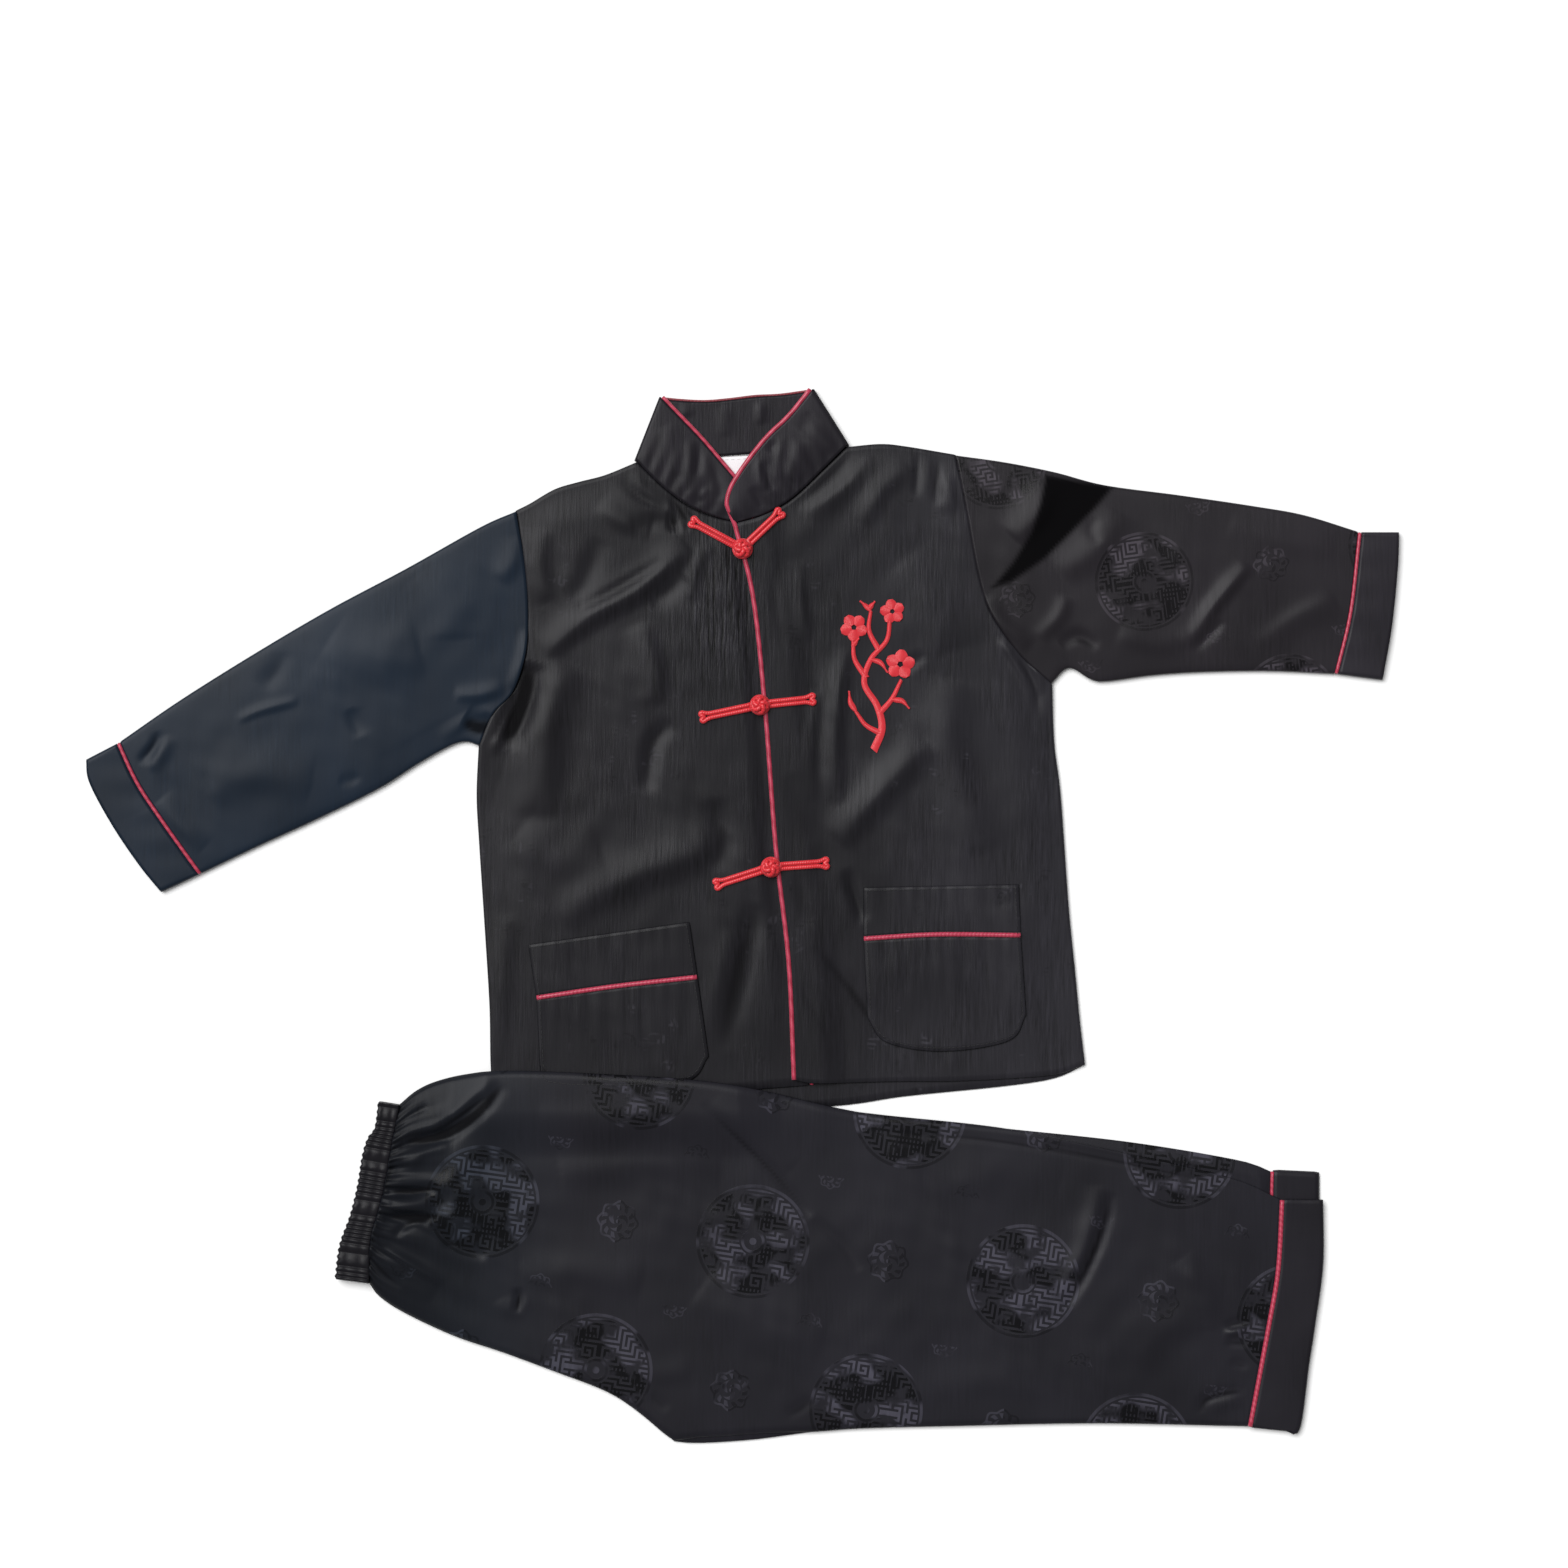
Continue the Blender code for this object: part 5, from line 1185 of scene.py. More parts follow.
pocket_parts = []
for place in POCKETS:
    seam = through(place.seam, 42)
    body, band = inset(seam, 0.6 - SEAM_SLOT), inset(seam, SEAM_SLOT - 0.6)
    pocket_parts.append(pocket_cloth(f"pocket_body_{place.side}", through(place.bottom, 42), body,
                                     24, f"pocket_{place.side}"))
    pocket_parts.append(pocket_cloth(f"pocket_flap_{place.side}", band, through(place.top, 42),
                                     16, f"pocket_band_{place.side}"))
stack.add(*[piece for grid, piece in pocket_parts])
print("pocket cloths:", [round(surface_area(grid) * 1e4, 1) for grid, piece in pocket_parts], "cm2")

# %% [markdown]
# ## The trousers
# The trousers are folded in half along the crotch, so both legs lie on each other. The cloth that
# shows is one big panel over the layers below it. The hidden layers are one soft solid, with the
# lips of the folded cloth round its edge. The waist's elastic throws pleats into the top panel.

# %% How the trousers lie
CLIMB = np.array([(-182, 0), (-160, 5.0), (-2, 5.0), (24, 1.9), (48, 1.7), (74, 0)])
CLIMB_NEAR, CLIMB_FAR = -121.0, -152.0
PLEATS, GATHERS = 8, 28
BARE_EDGE = 4.2         # the top leg leaves this much of the layers below bare at the crotch


def climb(x, y):
    across = np.interp(x, CLIMB[:, 0], CLIMB[:, 1])
    return across * smooth_step(CLIMB_FAR, CLIMB_NEAR, y)


def waist_distance(x, y):
    line = through(WAIST, 20)
    return x - np.interp(y, line[:, 1], line[:, 0])


def puff(x, y):
    away = np.maximum(waist_distance(x, y), 0)
    return 4.6 * np.exp(-((away - 26) / 44) ** 2) + 0.8 * np.exp(-((away - 210) / 120) ** 2)


def crown_across(rows):
    return np.sin(np.pi * np.asarray(rows)) ** 0.7


# %% The top leg's cloth
low = edge((SEAT, 118), (INSEAM, 176))
bare = smooth_step(-52, -24, low[:, 0]) * (1 - smooth_step(4, 58, low[:, 0]))
low[:, 1] += BARE_EDGE * bare
high = through(LEG_TOP, len(low) - 1)
rows = np.concatenate([[0, 0.004, 0.010, 0.018], np.linspace(0, 1, 121)[3:-3],
                       [0.982, 0.990, 0.996, 1]])
hem = inset(through(HEM_SEAM, rows), SEAM_SLOT - 0.3)
leg_grid = patch(low, high, through(WAIST, rows), hem, rows)
x, y = leg_grid[..., 0].copy(), leg_grid[..., 1].copy()
across = crown_across(rows)[:, None]
away = np.maximum(waist_distance(x, y), 0)
bend = rows[:, None] + 0.012 * np.sin(away * 0.09 + rows[:, None] * 9)
pleats = 1.5 * (1 - np.cos(2 * np.pi * PLEATS * bend)) * np.exp(-away / 30)
fine_pleats = 0.7 * (1 - np.cos(2 * np.pi * GATHERS * rows[:, None])) * np.exp(-away / 9)
at_hem = 1 - smooth_step(0.93, 1.0, np.linspace(0, 1, len(low)))[None, :]
fullness = (0.8 + 1.4 * np.exp(-away / 60)) * at_hem
soft = fullness + crease_height(TROUSER_CREASES, x, y) * FOLD_LIFT + pleats + fine_pleats
soft = np.maximum(soft + unevenness(x, y, 0.6) * at_hem, -0.3) * across
z = climb(x, y) + LEG_LAYERS + GAP + puff(x, y) * across + soft + CLOTH
turn_down = np.interp(rows, [0, 0.018, 0.982, 1], [1.0, 0.0, 0.0, 1.0])[:, None]
fade = np.where(rows[:, None] > 0.5, 1 - smooth_step(140, 200, x), 1.0)
z = z - turn_down**2 * 1.2 * fade
leg_cloth = shell("leg_cloth_top", raised(leg_grid, z), SHELL, trouser_satin,
                  ["leg_over"])
# Painted shade by the waist: a dark stripe beside each gather next to the waistband, and a broad
# darker band along the waist, taken with the troughs' painted shade.
waist_painted_shade = (1 - bend * GATHERS % 1) * np.exp(-away / 7) * 0.5 + 0.4 * np.exp(-((away / 55) ** 2))
mark_shade(leg_cloth, np.maximum(fold_shade(TROUSER_CREASES, x, y), waist_painted_shade))
print("top leg:", round(surface_area(leg_grid), 4), "m2, highest", round(float(z.max()), 1), "mm")

# %% The hidden layers, with their lips
LIPS = ((0.8, 0.0), (0.2, 0.18), (0.0, 0.45), (0.25, 0.75), (0.8, 0.95), (0.25, 1.15), (0.0, 1.45),
        (0.25, 1.75), (0.95, 1.95), (1.4, 2.1), (2.0, 2.2))
TOP_INSET = 5.2


def layered_slab(name, grid, floor, height, look, replaced):
    rows, columns = grid.shape[:2]
    rim = rim_of(rows, columns)
    spot = {place: k for k, place in enumerate(rim)}
    border = np.array([grid[r, c] for r, c in rim])
    along = np.roll(border, -1, axis=0) - np.roll(border, 1, axis=0)
    inward = np.column_stack([-along[:, 1], along[:, 0]])
    inward /= np.linalg.norm(inward, axis=1)[:, None]
    points, faces, index = [], [], {}
    for label, level, step in (("low", floor, LIPS[0][0]), ("high", floor + height, TOP_INSET)):
        for r in range(rows):
            for c in range(columns):
                index[label, r, c] = len(points)
                flat = grid[r, c]
                if (r, c) in spot:
                    flat = flat + inward[spot[r, c]] * step
                points.append((*flat, level[r, c]))
    for r in range(rows - 1):
        for c in range(columns - 1):
            square = [(r, c), (r, c + 1), (r + 1, c + 1), (r + 1, c)]
            faces.append([index[("high", *corner)] for corner in square])
            faces.append([index[("low", *corner)] for corner in reversed(square)])
    loops = [[index[("low", *corner)] for corner in rim]]
    for step, lift in LIPS[1:]:
        loops.append(list(range(len(points), len(points) + len(rim))))
        points += [(*(p + n * step), floor[r, c] + lift)
                   for p, n, (r, c) in zip(border, inward, rim)]
    loops.append([index[("high", *corner)] for corner in rim])
    for lower, upper in zip(loops, loops[1:]):
        for k in range(len(rim)):
            j = (k + 1) % len(rim)
            faces.append([lower[k], lower[j], upper[j], upper[k]])
    return add_piece(name, points, faces, look, replaced)


low = edge((SEAT, 27), (INSEAM, 42))
high = through(LOWER_LEG_TOP, len(low) - 1)
rows = np.array((0, 0.055, 0.11, 0.18, 0.3, 0.44, 0.57, 0.68, 0.78, 0.86, 0.91, 0.948, 1))
hem = inset(through(LOWER_HEM_SEAM, rows), SEAM_SLOT - 0.3)
under_leg_grid = patch(low, high, through(WAIST, rows), hem, rows)
x, y = under_leg_grid[..., 0], under_leg_grid[..., 1]
rise = 0.86 * puff(x, y) * crown_across(rows)[:, None]
rise = rise - 0.5 * smooth_step(CLIMB_FAR - 16, CLIMB_FAR, y) * smooth_step(110, 70, x)
leg_layers = layered_slab("leg_layers_below", under_leg_grid, climb(x, y), LEG_LAYERS + rise,
                          trouser_satin, ["leg_under"])
stack.add(leg_cloth, leg_layers)
print("hidden layers:", len(leg_layers.data.polygons), "faces")

# %% [markdown]
# ## The gathered waistband
# Elastic in the waistband pulls its cloth into 28 ribs. They repeat along the band, so a small
# Geometry Nodes tree raises them: the plain band's points carry how far along and how far across
# they lie, and the tree moves each by a wave of that. Its inputs are the number of ribs and their
# depth, so another size of suit needs only other numbers.

# %% A helper for node trees, and the gathering tree
def new_tree(name, inputs):
    """A Geometry Nodes tree with a mesh input, named inputs and a mesh output."""
    tree = bpy.data.node_groups.new(name, "GeometryNodeTree")
    tree.interface.new_socket("Geometry", in_out="INPUT", socket_type="NodeSocketGeometry")
    for label, kind in inputs:
        tree.interface.new_socket(label, in_out="INPUT", socket_type=kind)
    tree.interface.new_socket("Geometry", in_out="OUTPUT", socket_type="NodeSocketGeometry")
    return tree, tree.nodes.new("NodeGroupInput"), tree.nodes.new("NodeGroupOutput")


def tree_node(tree, kind, settings=(), inputs=()):
    made = tree.nodes.new(kind)
    for setting, value in dict(settings).items():
        setattr(made, setting, value)
    for key, value in dict(inputs).items():
        if isinstance(value, bpy.types.NodeSocket):
            tree.links.new(value, made.inputs[key])
        else:
            made.inputs[key].default_value = value
    return made


def tree_math(tree, operation, *values):
    node = tree_node(tree, "ShaderNodeMath", {"operation": operation}, dict(enumerate(values)))
    return node.outputs[0]


def run_tree(made, tree, values):
    """Run a tree on a piece, keep its result as a plain mesh, and take the tree off again."""
    step = made.modifiers.new(tree.name, "NODES")
    step.node_group = tree
    keys = {item.name: item.identifier for item in tree.interface.items_tree
            if item.item_type == "SOCKET" and item.in_out == "INPUT"}
    for label, value in values.items():
        step[keys[label]] = value
    graph = bpy.context.evaluated_depsgraph_get()
    graph.update()
    result = bpy.data.meshes.new_from_object(made.evaluated_get(graph), depsgraph=graph)
    made.modifiers.remove(step)
    made.data = result
    return made


def gathering_tree():
    tree, start, end = new_tree("gathers", [
        ("Ribs", "NodeSocketFloat"), ("Depth", "NodeSocketFloat"),
        ("Cloth", "NodeSocketMaterial")])
    along = tree_node(tree, "GeometryNodeInputNamedAttribute", {"data_type": "FLOAT"},
                      {"Name": "along"}).outputs[0]
    facing = tree_node(tree, "GeometryNodeInputNamedAttribute", {"data_type": "FLOAT"},
                       {"Name": "facing"}).outputs[0]
    turn = tree_math(tree, "MULTIPLY", along, start.outputs["Ribs"])
    wander = tree_math(tree, "SINE", tree_math(tree, "MULTIPLY", along, 23.0))
    phase = tree_math(tree, "ADD", turn, tree_math(tree, "MULTIPLY", wander, 0.8))
    wave = tree_math(tree, "SINE", tree_math(tree, "MULTIPLY", phase, math.pi))
    rib = tree_math(tree, "POWER", tree_math(tree, "ABSOLUTE", wave), 0.7)
    lower = tree_math(tree, "SUBTRACT", rib, 1.0)
    size = tree_math(tree, "MULTIPLY", tree_math(tree, "MULTIPLY", lower, facing),
                     start.outputs["Depth"])
    offset = tree_node(tree, "ShaderNodeCombineXYZ", (), {"Z": size})
    moved = tree_node(tree, "GeometryNodeSetPosition", (), {
        "Geometry": start.outputs["Geometry"], "Offset": offset.outputs[0]})
    whole = tree_node(tree, "GeometryNodeRealizeInstances", (), {0: moved.outputs[0]})
    clothed = tree_node(tree, "GeometryNodeSetMaterial", (), {
        "Geometry": whole.outputs[0], "Material": start.outputs["Cloth"]})
    tree.links.new(clothed.outputs[0], end.inputs[0])
    return tree


gathers = gathering_tree()
print("gathering tree:", len(gathers.nodes), "nodes")

# %% The two layers of the waistband
GATHER_DEPTH = 1.3
BAND_PROFILE = [(0.0, 0.0), (0.0, 0.55), (0.02, 0.86), (0.08, 1.0), (0.22, 0.97), (0.3, 0.86),
                (0.38, 0.98), (0.5, 1.0), (0.62, 0.97), (0.7, 0.86), (0.78, 0.98), (0.9, 1.0),
                (0.97, 0.86), (1.0, 0.5), (0.97, 0.12), (0.93, 0.0), (0.6, 0.0), (0.3, 0.0)]


def waistband(name, bottom, top, replaced):
    count = GATHERS * 8
    inside, outside = through(WAIST, count), through(WAIST_OUTER, count)
    points, along, facing = [], [], []
    for k, (a, b) in enumerate(zip(inside, outside)):
        lift = float(climb(*a))
        pull = 0.5 + 0.5 * math.cos(2 * math.pi * GATHERS * k / count)
        wide = 1 - 0.045 * pull
        for across, up in BAND_PROFILE:
            flat = a + (b - a) * across * wide
            points.append((*flat, bottom + lift + (top - bottom) * up))
            along.append(k / count)
            facing.append(up**3)
    size = len(BAND_PROFILE)
    faces = quads(count + 1, size, closed=True)
    faces += [list(range(size))[::-1], [count * size + k for k in range(size)]]
    mesh = bpy.data.meshes.new(name)
    mesh.from_pydata([tuple(p) for p in np.array(points) * MM], [], faces)
    for label, values in (("along", along), ("facing", facing)):
        mesh.attributes.new(label, "FLOAT", "POINT").data.foreach_set("value", values)
    made = bpy.data.objects.new(name, mesh)
    bpy.context.scene.collection.objects.link(made)
    run_tree(made, gathers, {"Ribs": float(GATHERS), "Depth": GATHER_DEPTH * MM,
                             "Cloth": shaded_gathered_satin})
    shape = bmesh.new()
    shape.from_mesh(made.data)
    bmesh.ops.recalc_face_normals(shape, faces=shape.faces)
    shape.to_mesh(made.data)
    shape.free()
    made.data.shade_smooth()
    return settle(made, [replaced])


waist_low = waistband("waist_elastic_below", 0.0, 4.6, "waistband_under")
waist_high = waistband("waist_elastic_top", 4.9, 8.6, "waistband_over")
stack.add(waist_low, waist_high)
print("waistband:", len(waist_high.data.polygons), "faces")

# %% [markdown]
# ## Trouser hems
# Each leg ends in a folded band past a piped seam. The upper leg's hem lies a little short of the
# lower one's, so both show at the corner.

# %% The hem bands
def hem_band(name, seam, end, top_z, wall, replaced):
    near, far = inset(through(seam, 60), 0.3 - SEAM_SLOT), through(end, 60)
    grid = patch(near, far, through([near[0], far[0]], 12), through([near[-1], far[-1]], 12))
    grid = grid[::-1]
    z = top_z + unevenness(grid[..., 0] * 2, grid[..., 1] * 2, 0.15)
    return grid, shell(name, raised(grid, z), wall, plain_satin, [replaced])


hem_low_grid, hem_low = hem_band("hem_band_below", LOWER_HEM_SEAM, LOWER_HEM_END, LEG_LAYERS - GAP,
                                 LEG_LAYERS - GAP - 0.1, "leg_cuff_under")
hem_top_grid, hem_top = hem_band("hem_band_top", HEM_SEAM, HEM_END, LEG_LAYERS + GAP + BAND,
                                 BAND - 0.1, "leg_cuff_over")
stack.add(hem_low, hem_top)
print("hem band:", round(surface_area(hem_top_grid) * 1e4, 1), "cm2")

# %% [markdown]
# ## Piping
# A piped seam shows a round red cord between two pieces of cloth. A curve with a bevel is the
# natural way to make it: the path is the seam's own table, the bevel is the cord's radius, and
# filled caps close its ends. It is turned into a mesh, so that its UV map runs along it.

# %% Cords on curves
def cord(name, points, radius, look, replaced=(), closed=False, sides=3):
    curve = bpy.data.curves.new(name, "CURVE")
    curve.dimensions = "3D"
    curve.bevel_depth, curve.bevel_resolution = radius * MM, sides
    curve.use_fill_caps = True
    curve.twist_mode = "Z_UP"
    line = curve.splines.new("POLY")
    line.points.add(len(points) - 1)
    for point, place in zip(line.points, points):
        point.co = (*(np.asarray(place, float) * MM), 1)
    line.use_cyclic_u = closed
    line.use_smooth = True
    curve.materials.append(look)
    guide = bpy.data.objects.new(name + "_guide", curve)
    bpy.context.scene.collection.objects.link(guide)
    graph = bpy.context.evaluated_depsgraph_get()
    graph.update()
    mesh = bpy.data.meshes.new_from_object(guide.evaluated_get(graph), depsgraph=graph)
    bpy.data.objects.remove(guide)
    shape = bmesh.new()
    shape.from_mesh(mesh)
    bmesh.ops.remove_doubles(shape, verts=shape.verts, dist=1e-6)
    shape.to_mesh(mesh)
    shape.free()
    mesh.shade_smooth()
    return settle(bpy.data.objects.new(name, mesh), replaced)


def lay(flat, radius, reach=None, soften=3):
    """Heights for a cord that lies on the stack along flat points."""
    reach = radius if reach is None else reach
    low = np.array([stack.height(px, py, reach) for px, py in flat]) + radius * 0.8
    z = low.copy()
    for _ in range(soften):
        padded = np.concatenate([z[:1], z, z[-1:]])
        z = np.maximum(low, (padded[:-2] + 2 * padded[1:-1] + padded[2:]) / 4)
    return np.column_stack([flat, z])


# %% Piping of the fronts and the collar
PLUMP_R = 1.5           # piping that the iron hasn't flattened
TURNED_R = 0.85         # and the part of the collar's that shows at the back
piping = []


def pipe(name, points, solid, radius=PIPING_R, look=piping_red, closed=False):
    piping.append(cord(name, points, radius, look, [solid], closed=closed))


edge_line = through(FRONT_EDGE, 88)
mid = UNDER_FRONT + PLACKET_RISE + CLOTH / 2
over = [(px, py, mid) for px, py in edge_line]
over += [tuple(p) for p in through([row[3:] for row in reversed(LEFT_WING)], 42)[1:]]
over = through(over, 150)
pipe("piping_front_over", over, "piping_front_left", PLUMP_R)
under = [(43.0, -105.8, UNDER_FRONT + PIPING_R)]
under += [(px + UNDERLAP + SEAM_SLOT, py, UNDER_FRONT + PIPING_R) for px, py in edge_line]
under += [tuple(p) for p in through([row[3:] for row in RIGHT_WING], 42)[1:]]
pipe("piping_front_under", under, "piping_front_right")
back_line = [(px, py - 0.5, TURNED_R) for px, py in through(BACK_BAND_TOP, 30)]
pipe("piping_back_collar", back_line, "piping_collar_back", TURNED_R, shaded_piping_red)

# %% Piping of the cuffs, pockets and hems
for side, seam, arm in (("left", CUFF_SEAM_LEFT, left_arm), ("right", CUFF_SEAM_RIGHT, right_arm)):
    line = through(seam, 72)[::-1]
    proud = PIPING_R / 2
    loop = ring(line, SLEEVE_EDGE + proud, arm[1] + proud, PIPING_R)
    loop = [(px, py, max(pz, PIPING_R)) for px, py, pz in loop]
    pipe(f"piping_of_cuff_{side}", loop, f"piping_cuff_{side}", closed=True)
for place in POCKETS:
    seam = through(place.seam, 40)
    under_it = np.array([stack.height(px, py) for px, py in inset(seam, 4)]) - CLOTH * 0.4
    line = np.column_stack([seam, under_it + PIPING_R * 0.6])
    pipe(f"piping_of_pocket_{place.side}", line, f"piping_pocket_{place.side}", PLUMP_R)
low = [(px, py, PIPING_R + GAP) for px, py in through(LOWER_HEM_SEAM, 48)]
pipe("piping_hem_below", low, "piping_leg_under")
high = [(px, py, LEG_LAYERS + GAP + PIPING_R) for px, py in through(HEM_SEAM, 48)]
pipe("piping_hem_top", high, "piping_leg_over", PLUMP_R)
stack.add(*piping)
print("piping:", len(piping), "cords")

# %% [markdown]
# ## Frog closures
# A frog is a button knot and a loop, each on a doubled cord whose end is spread and sewn flat.
# The knot is a Turk's head, a cord that runs round and round while it weaves in and out. That is
# a rule with two numbers, its laps and its bights, so it is computed and not modelled by hand.

# %% Knots and arms
Frog = namedtuple("Frog", "number knot right_arm left_arm")
FROGS = [Frog(1, (-0.1, 229.1), (-32.3, 246.6), (24.3, 252.4)),
         Frog(2, (10.8, 131.6), (-26.3, 123.8), (44.9, 135.3)),
         Frog(3, (17.7, 30.3), (-17.3, 19.1), (53.3, 32.8))]
KNOT_R, ARM_STRAND_R = 6.2, 1.38
LAPS, BIGHTS, STRAND_R = 2, 5, 1.5


def knot_path(place, base, turn):
    t = np.linspace(0, 2 * math.pi, 181)[:-1]
    r = 3.0 + 1.65 * np.cos(t * BIGHTS)
    dome = 1 - (r / 6.4) ** 2
    weave = 0.85 * np.sin(t * BIGHTS)
    angle = t * LAPS + turn
    return np.column_stack([place[0] + r * np.cos(angle), place[1] + r * np.sin(angle),
                            base + 1.6 + dome * 2.9 + weave])


def frog_knot(frog, turn):
    base = max(stack.height(*frog.knot, reach=r) for r in (0, 2, 4))
    parts = [cord(f"knot_cord_{frog.number}", knot_path(frog.knot, base, turn), STRAND_R, cord_red,
                  closed=True)]
    angle = np.linspace(0, 2 * math.pi, 49)[:-1]
    hoop = np.column_stack([frog.knot[0] + 5.3 * np.cos(angle), frog.knot[1] + 5.3 * np.sin(angle)])
    z = np.array([stack.height(px, py, 1.0) for px, py in hoop])
    z = np.maximum(z, z.mean()) + FROG_R * 0.9
    parts.append(cord(f"knot_loop_{frog.number}", np.column_stack([hoop, z]), FROG_R, cord_red,
                      closed=True))
    ball = bmesh.new()
    bmesh.ops.create_uvsphere(ball, u_segments=32, v_segments=16, radius=3.3 * MM)
    for vertex in ball.verts:
        vertex.co.z *= 0.8
        vertex.co += Vector((*frog.knot, base + 3.0)) * MM
    mesh = bpy.data.meshes.new("core")
    ball.to_mesh(mesh)
    ball.free()
    mesh.materials.append(cord_red)
    core = bpy.data.objects.new(f"knot_{frog.number}", mesh)
    bpy.context.scene.collection.objects.link(core)
    return join(f"button_knot_{frog.number}", [core] + parts,
                [f"frog_{frog.number}_knot"])


def join(name, members, replaced):
    """Several meshes as one piece."""
    shape = bmesh.new()
    for member in members:
        shape.from_mesh(member.data)
    mesh = bpy.data.meshes.new(name)
    shape.to_mesh(mesh)
    shape.free()
    mesh.materials.append(members[0].data.materials[0])
    mesh.shade_smooth()
    for member in members:
        bpy.data.objects.remove(member)
    return settle(bpy.data.objects.new(name, mesh), replaced)


def frog_arm(name, knot, end, replaced):
    start, tip = np.array(knot), np.array(end)
    length = np.linalg.norm(tip - start)
    along = (tip - start) / length
    side = np.array([-along[1], along[0]])
    out = [(d, 1.4) for d in np.linspace(KNOT_R - 0.4, length - 7, 14)]
    out += [(length - 5.0, 1.6), (length - 3.0, 2.2), (length - 1.4, 2.9), (length - 0.4, 2.5),
            (length - 0.2, 1.5), (length - 1.4, 0.7)]
    path = out + [(length - 2.2, 0.0)] + [(d, -w) for d, w in reversed(out)]
    flat = np.array([start + along * d + side * w for d, w in path])
    loop = np.vstack([flat, flat[:1]])
    fine = through(loop, 110)[:-1]
    laid = lay(fine, FROG_R, reach=FROG_R * 0.8, soften=8)
    return cord(name, laid, ARM_STRAND_R, cord_red, [replaced], closed=True)


frog_pieces = []
for frog, turn in zip(FROGS, (0.3, 1.1, 2.0)):
    for side, end in (("right", frog.right_arm), ("left", frog.left_arm)):
        frog_pieces.append(frog_arm(f"loop_arm_{frog.number}_{side}", frog.knot, end,
                                    f"frog_{frog.number}_{side}_arm"))
    frog_pieces.append(frog_knot(frog, turn))
print("frog pieces:", len(frog_pieces))

# %% [markdown]
# ## Stitches
# Machine stitches and embroidery are the same thing at two scales: short threads from one point
# to another, each a little arched. Every stitch is drawn as one edge, and one Geometry Nodes tree
# turns the edges into threads. Its inputs are the thread's radius, how far it arches, and its
# material.

# %% The thread tree
def thread_tree():
    tree, start, end = new_tree("threads", [
        ("Radius", "NodeSocketFloat"), ("Arch", "NodeSocketFloat"),
        ("Thread", "NodeSocketMaterial")])
    lines = tree_node(tree, "GeometryNodeMeshToCurve", (), {"Mesh": start.outputs["Geometry"]})
    steps = tree_node(tree, "GeometryNodeResampleCurve", (), {"Curve": lines.outputs[0],
                                                              "Count": 5})
    factor = tree_node(tree, "GeometryNodeSplineParameter").outputs["Factor"]
    hump = tree_math(tree, "SINE", tree_math(tree, "MULTIPLY", factor, math.pi))
    lift = tree_node(tree, "ShaderNodeCombineXYZ", (), {
        "Z": tree_math(tree, "MULTIPLY", hump, start.outputs["Arch"])})
    arched = tree_node(tree, "GeometryNodeSetPosition", (), {
        "Geometry": steps.outputs[0], "Offset": lift.outputs[0]})
    profile = tree_node(tree, "GeometryNodeCurvePrimitiveCircle", (), {"Resolution": 6})
    tree.links.new(start.outputs["Radius"], profile.inputs["Radius"])
    thread = tree_node(tree, "GeometryNodeCurveToMesh", (), {
        "Curve": arched.outputs[0], "Profile Curve": profile.outputs[0], "Fill Caps": True})
    smooth = tree_node(tree, "GeometryNodeSetShadeSmooth", (), {0: thread.outputs[0]})
    whole = tree_node(tree, "GeometryNodeRealizeInstances", (), {0: smooth.outputs[0]})
    dyed = tree_node(tree, "GeometryNodeSetMaterial", (), {
        "Geometry": whole.outputs[0], "Material": start.outputs["Thread"]})
    tree.links.new(dyed.outputs[0], end.inputs[0])
    return tree


threads = thread_tree()


def sew(name, stitches, radius, arch, look):
    """One piece from a list of stitches, each two points in millimetres."""
    mesh = bpy.data.meshes.new(name)
    points = [tuple(np.asarray(p, float) * MM) for stitch in stitches for p in stitch]
    mesh.from_pydata(points, [(2 * k, 2 * k + 1) for k in range(len(stitches))], [])
    made = bpy.data.objects.new(name, mesh)
    bpy.context.scene.collection.objects.link(made)
    run_tree(made, threads, {"Radius": radius * MM, "Arch": arch * MM, "Thread": look})
    return settle(made)


def running_stitches(flat, pitch=3.0, length=2.3, rise=0.12):
    """Stitches of one length along a line on the cloth."""
    count = int(length_of(flat) / pitch)
    starts = through(flat, np.arange(count) * pitch / length_of(flat))
    ends = through(flat, (np.arange(count) * pitch + length) / length_of(flat))
    return [((*a, stack.height(*a) + rise), (*b, stack.height(*b) + rise))
            for a, b in zip(starts, ends)]


print("thread tree:", len(threads.nodes), "nodes")

# %% Top-stitching of the pockets, the waist and the label
top_stitches = []
for grid, piece in pocket_parts:
    left, low, right, high = grid[:, 0], grid[0], grid[:, -1], grid[-1]
    if "body" in piece.name:
        outline = np.vstack([left[::-1], low[1:], right[1:]])
        top_stitches += running_stitches(inset(outline, 1.8)[1:-1])
    else:
        top_stitches += running_stitches(inset(left, -1.8)) + running_stitches(inset(right, 1.8))
        top_stitches += running_stitches(inset(high, -1.6))
sew("pocket_stitches", top_stitches, 0.16, 0.10, thread_black)
tape_z = UNDER_FRONT + 1.05
tape_line = inset(label_grid[-1], -1.4)
tape_stitches = [((*a, tape_z), (*b, tape_z)) for a, b in zip(tape_line[::2], tape_line[1::2])]
sew("label_stitches", tape_stitches, 0.14, 0.1, thread_white)
print("top stitches:", len(top_stitches))

# %% [markdown]
# ## The embroidered sprig
# The left chest carries a red embroidery about 40 mm wide and 94 mm high. Here it is a sprig of
# plum blossom, a traditional motif: a branch with twigs, three open blossoms, two buds and a few
# leaves. Satin stitch lays its threads side by side across each shape, so every shape is a row of
# stitches across a line.

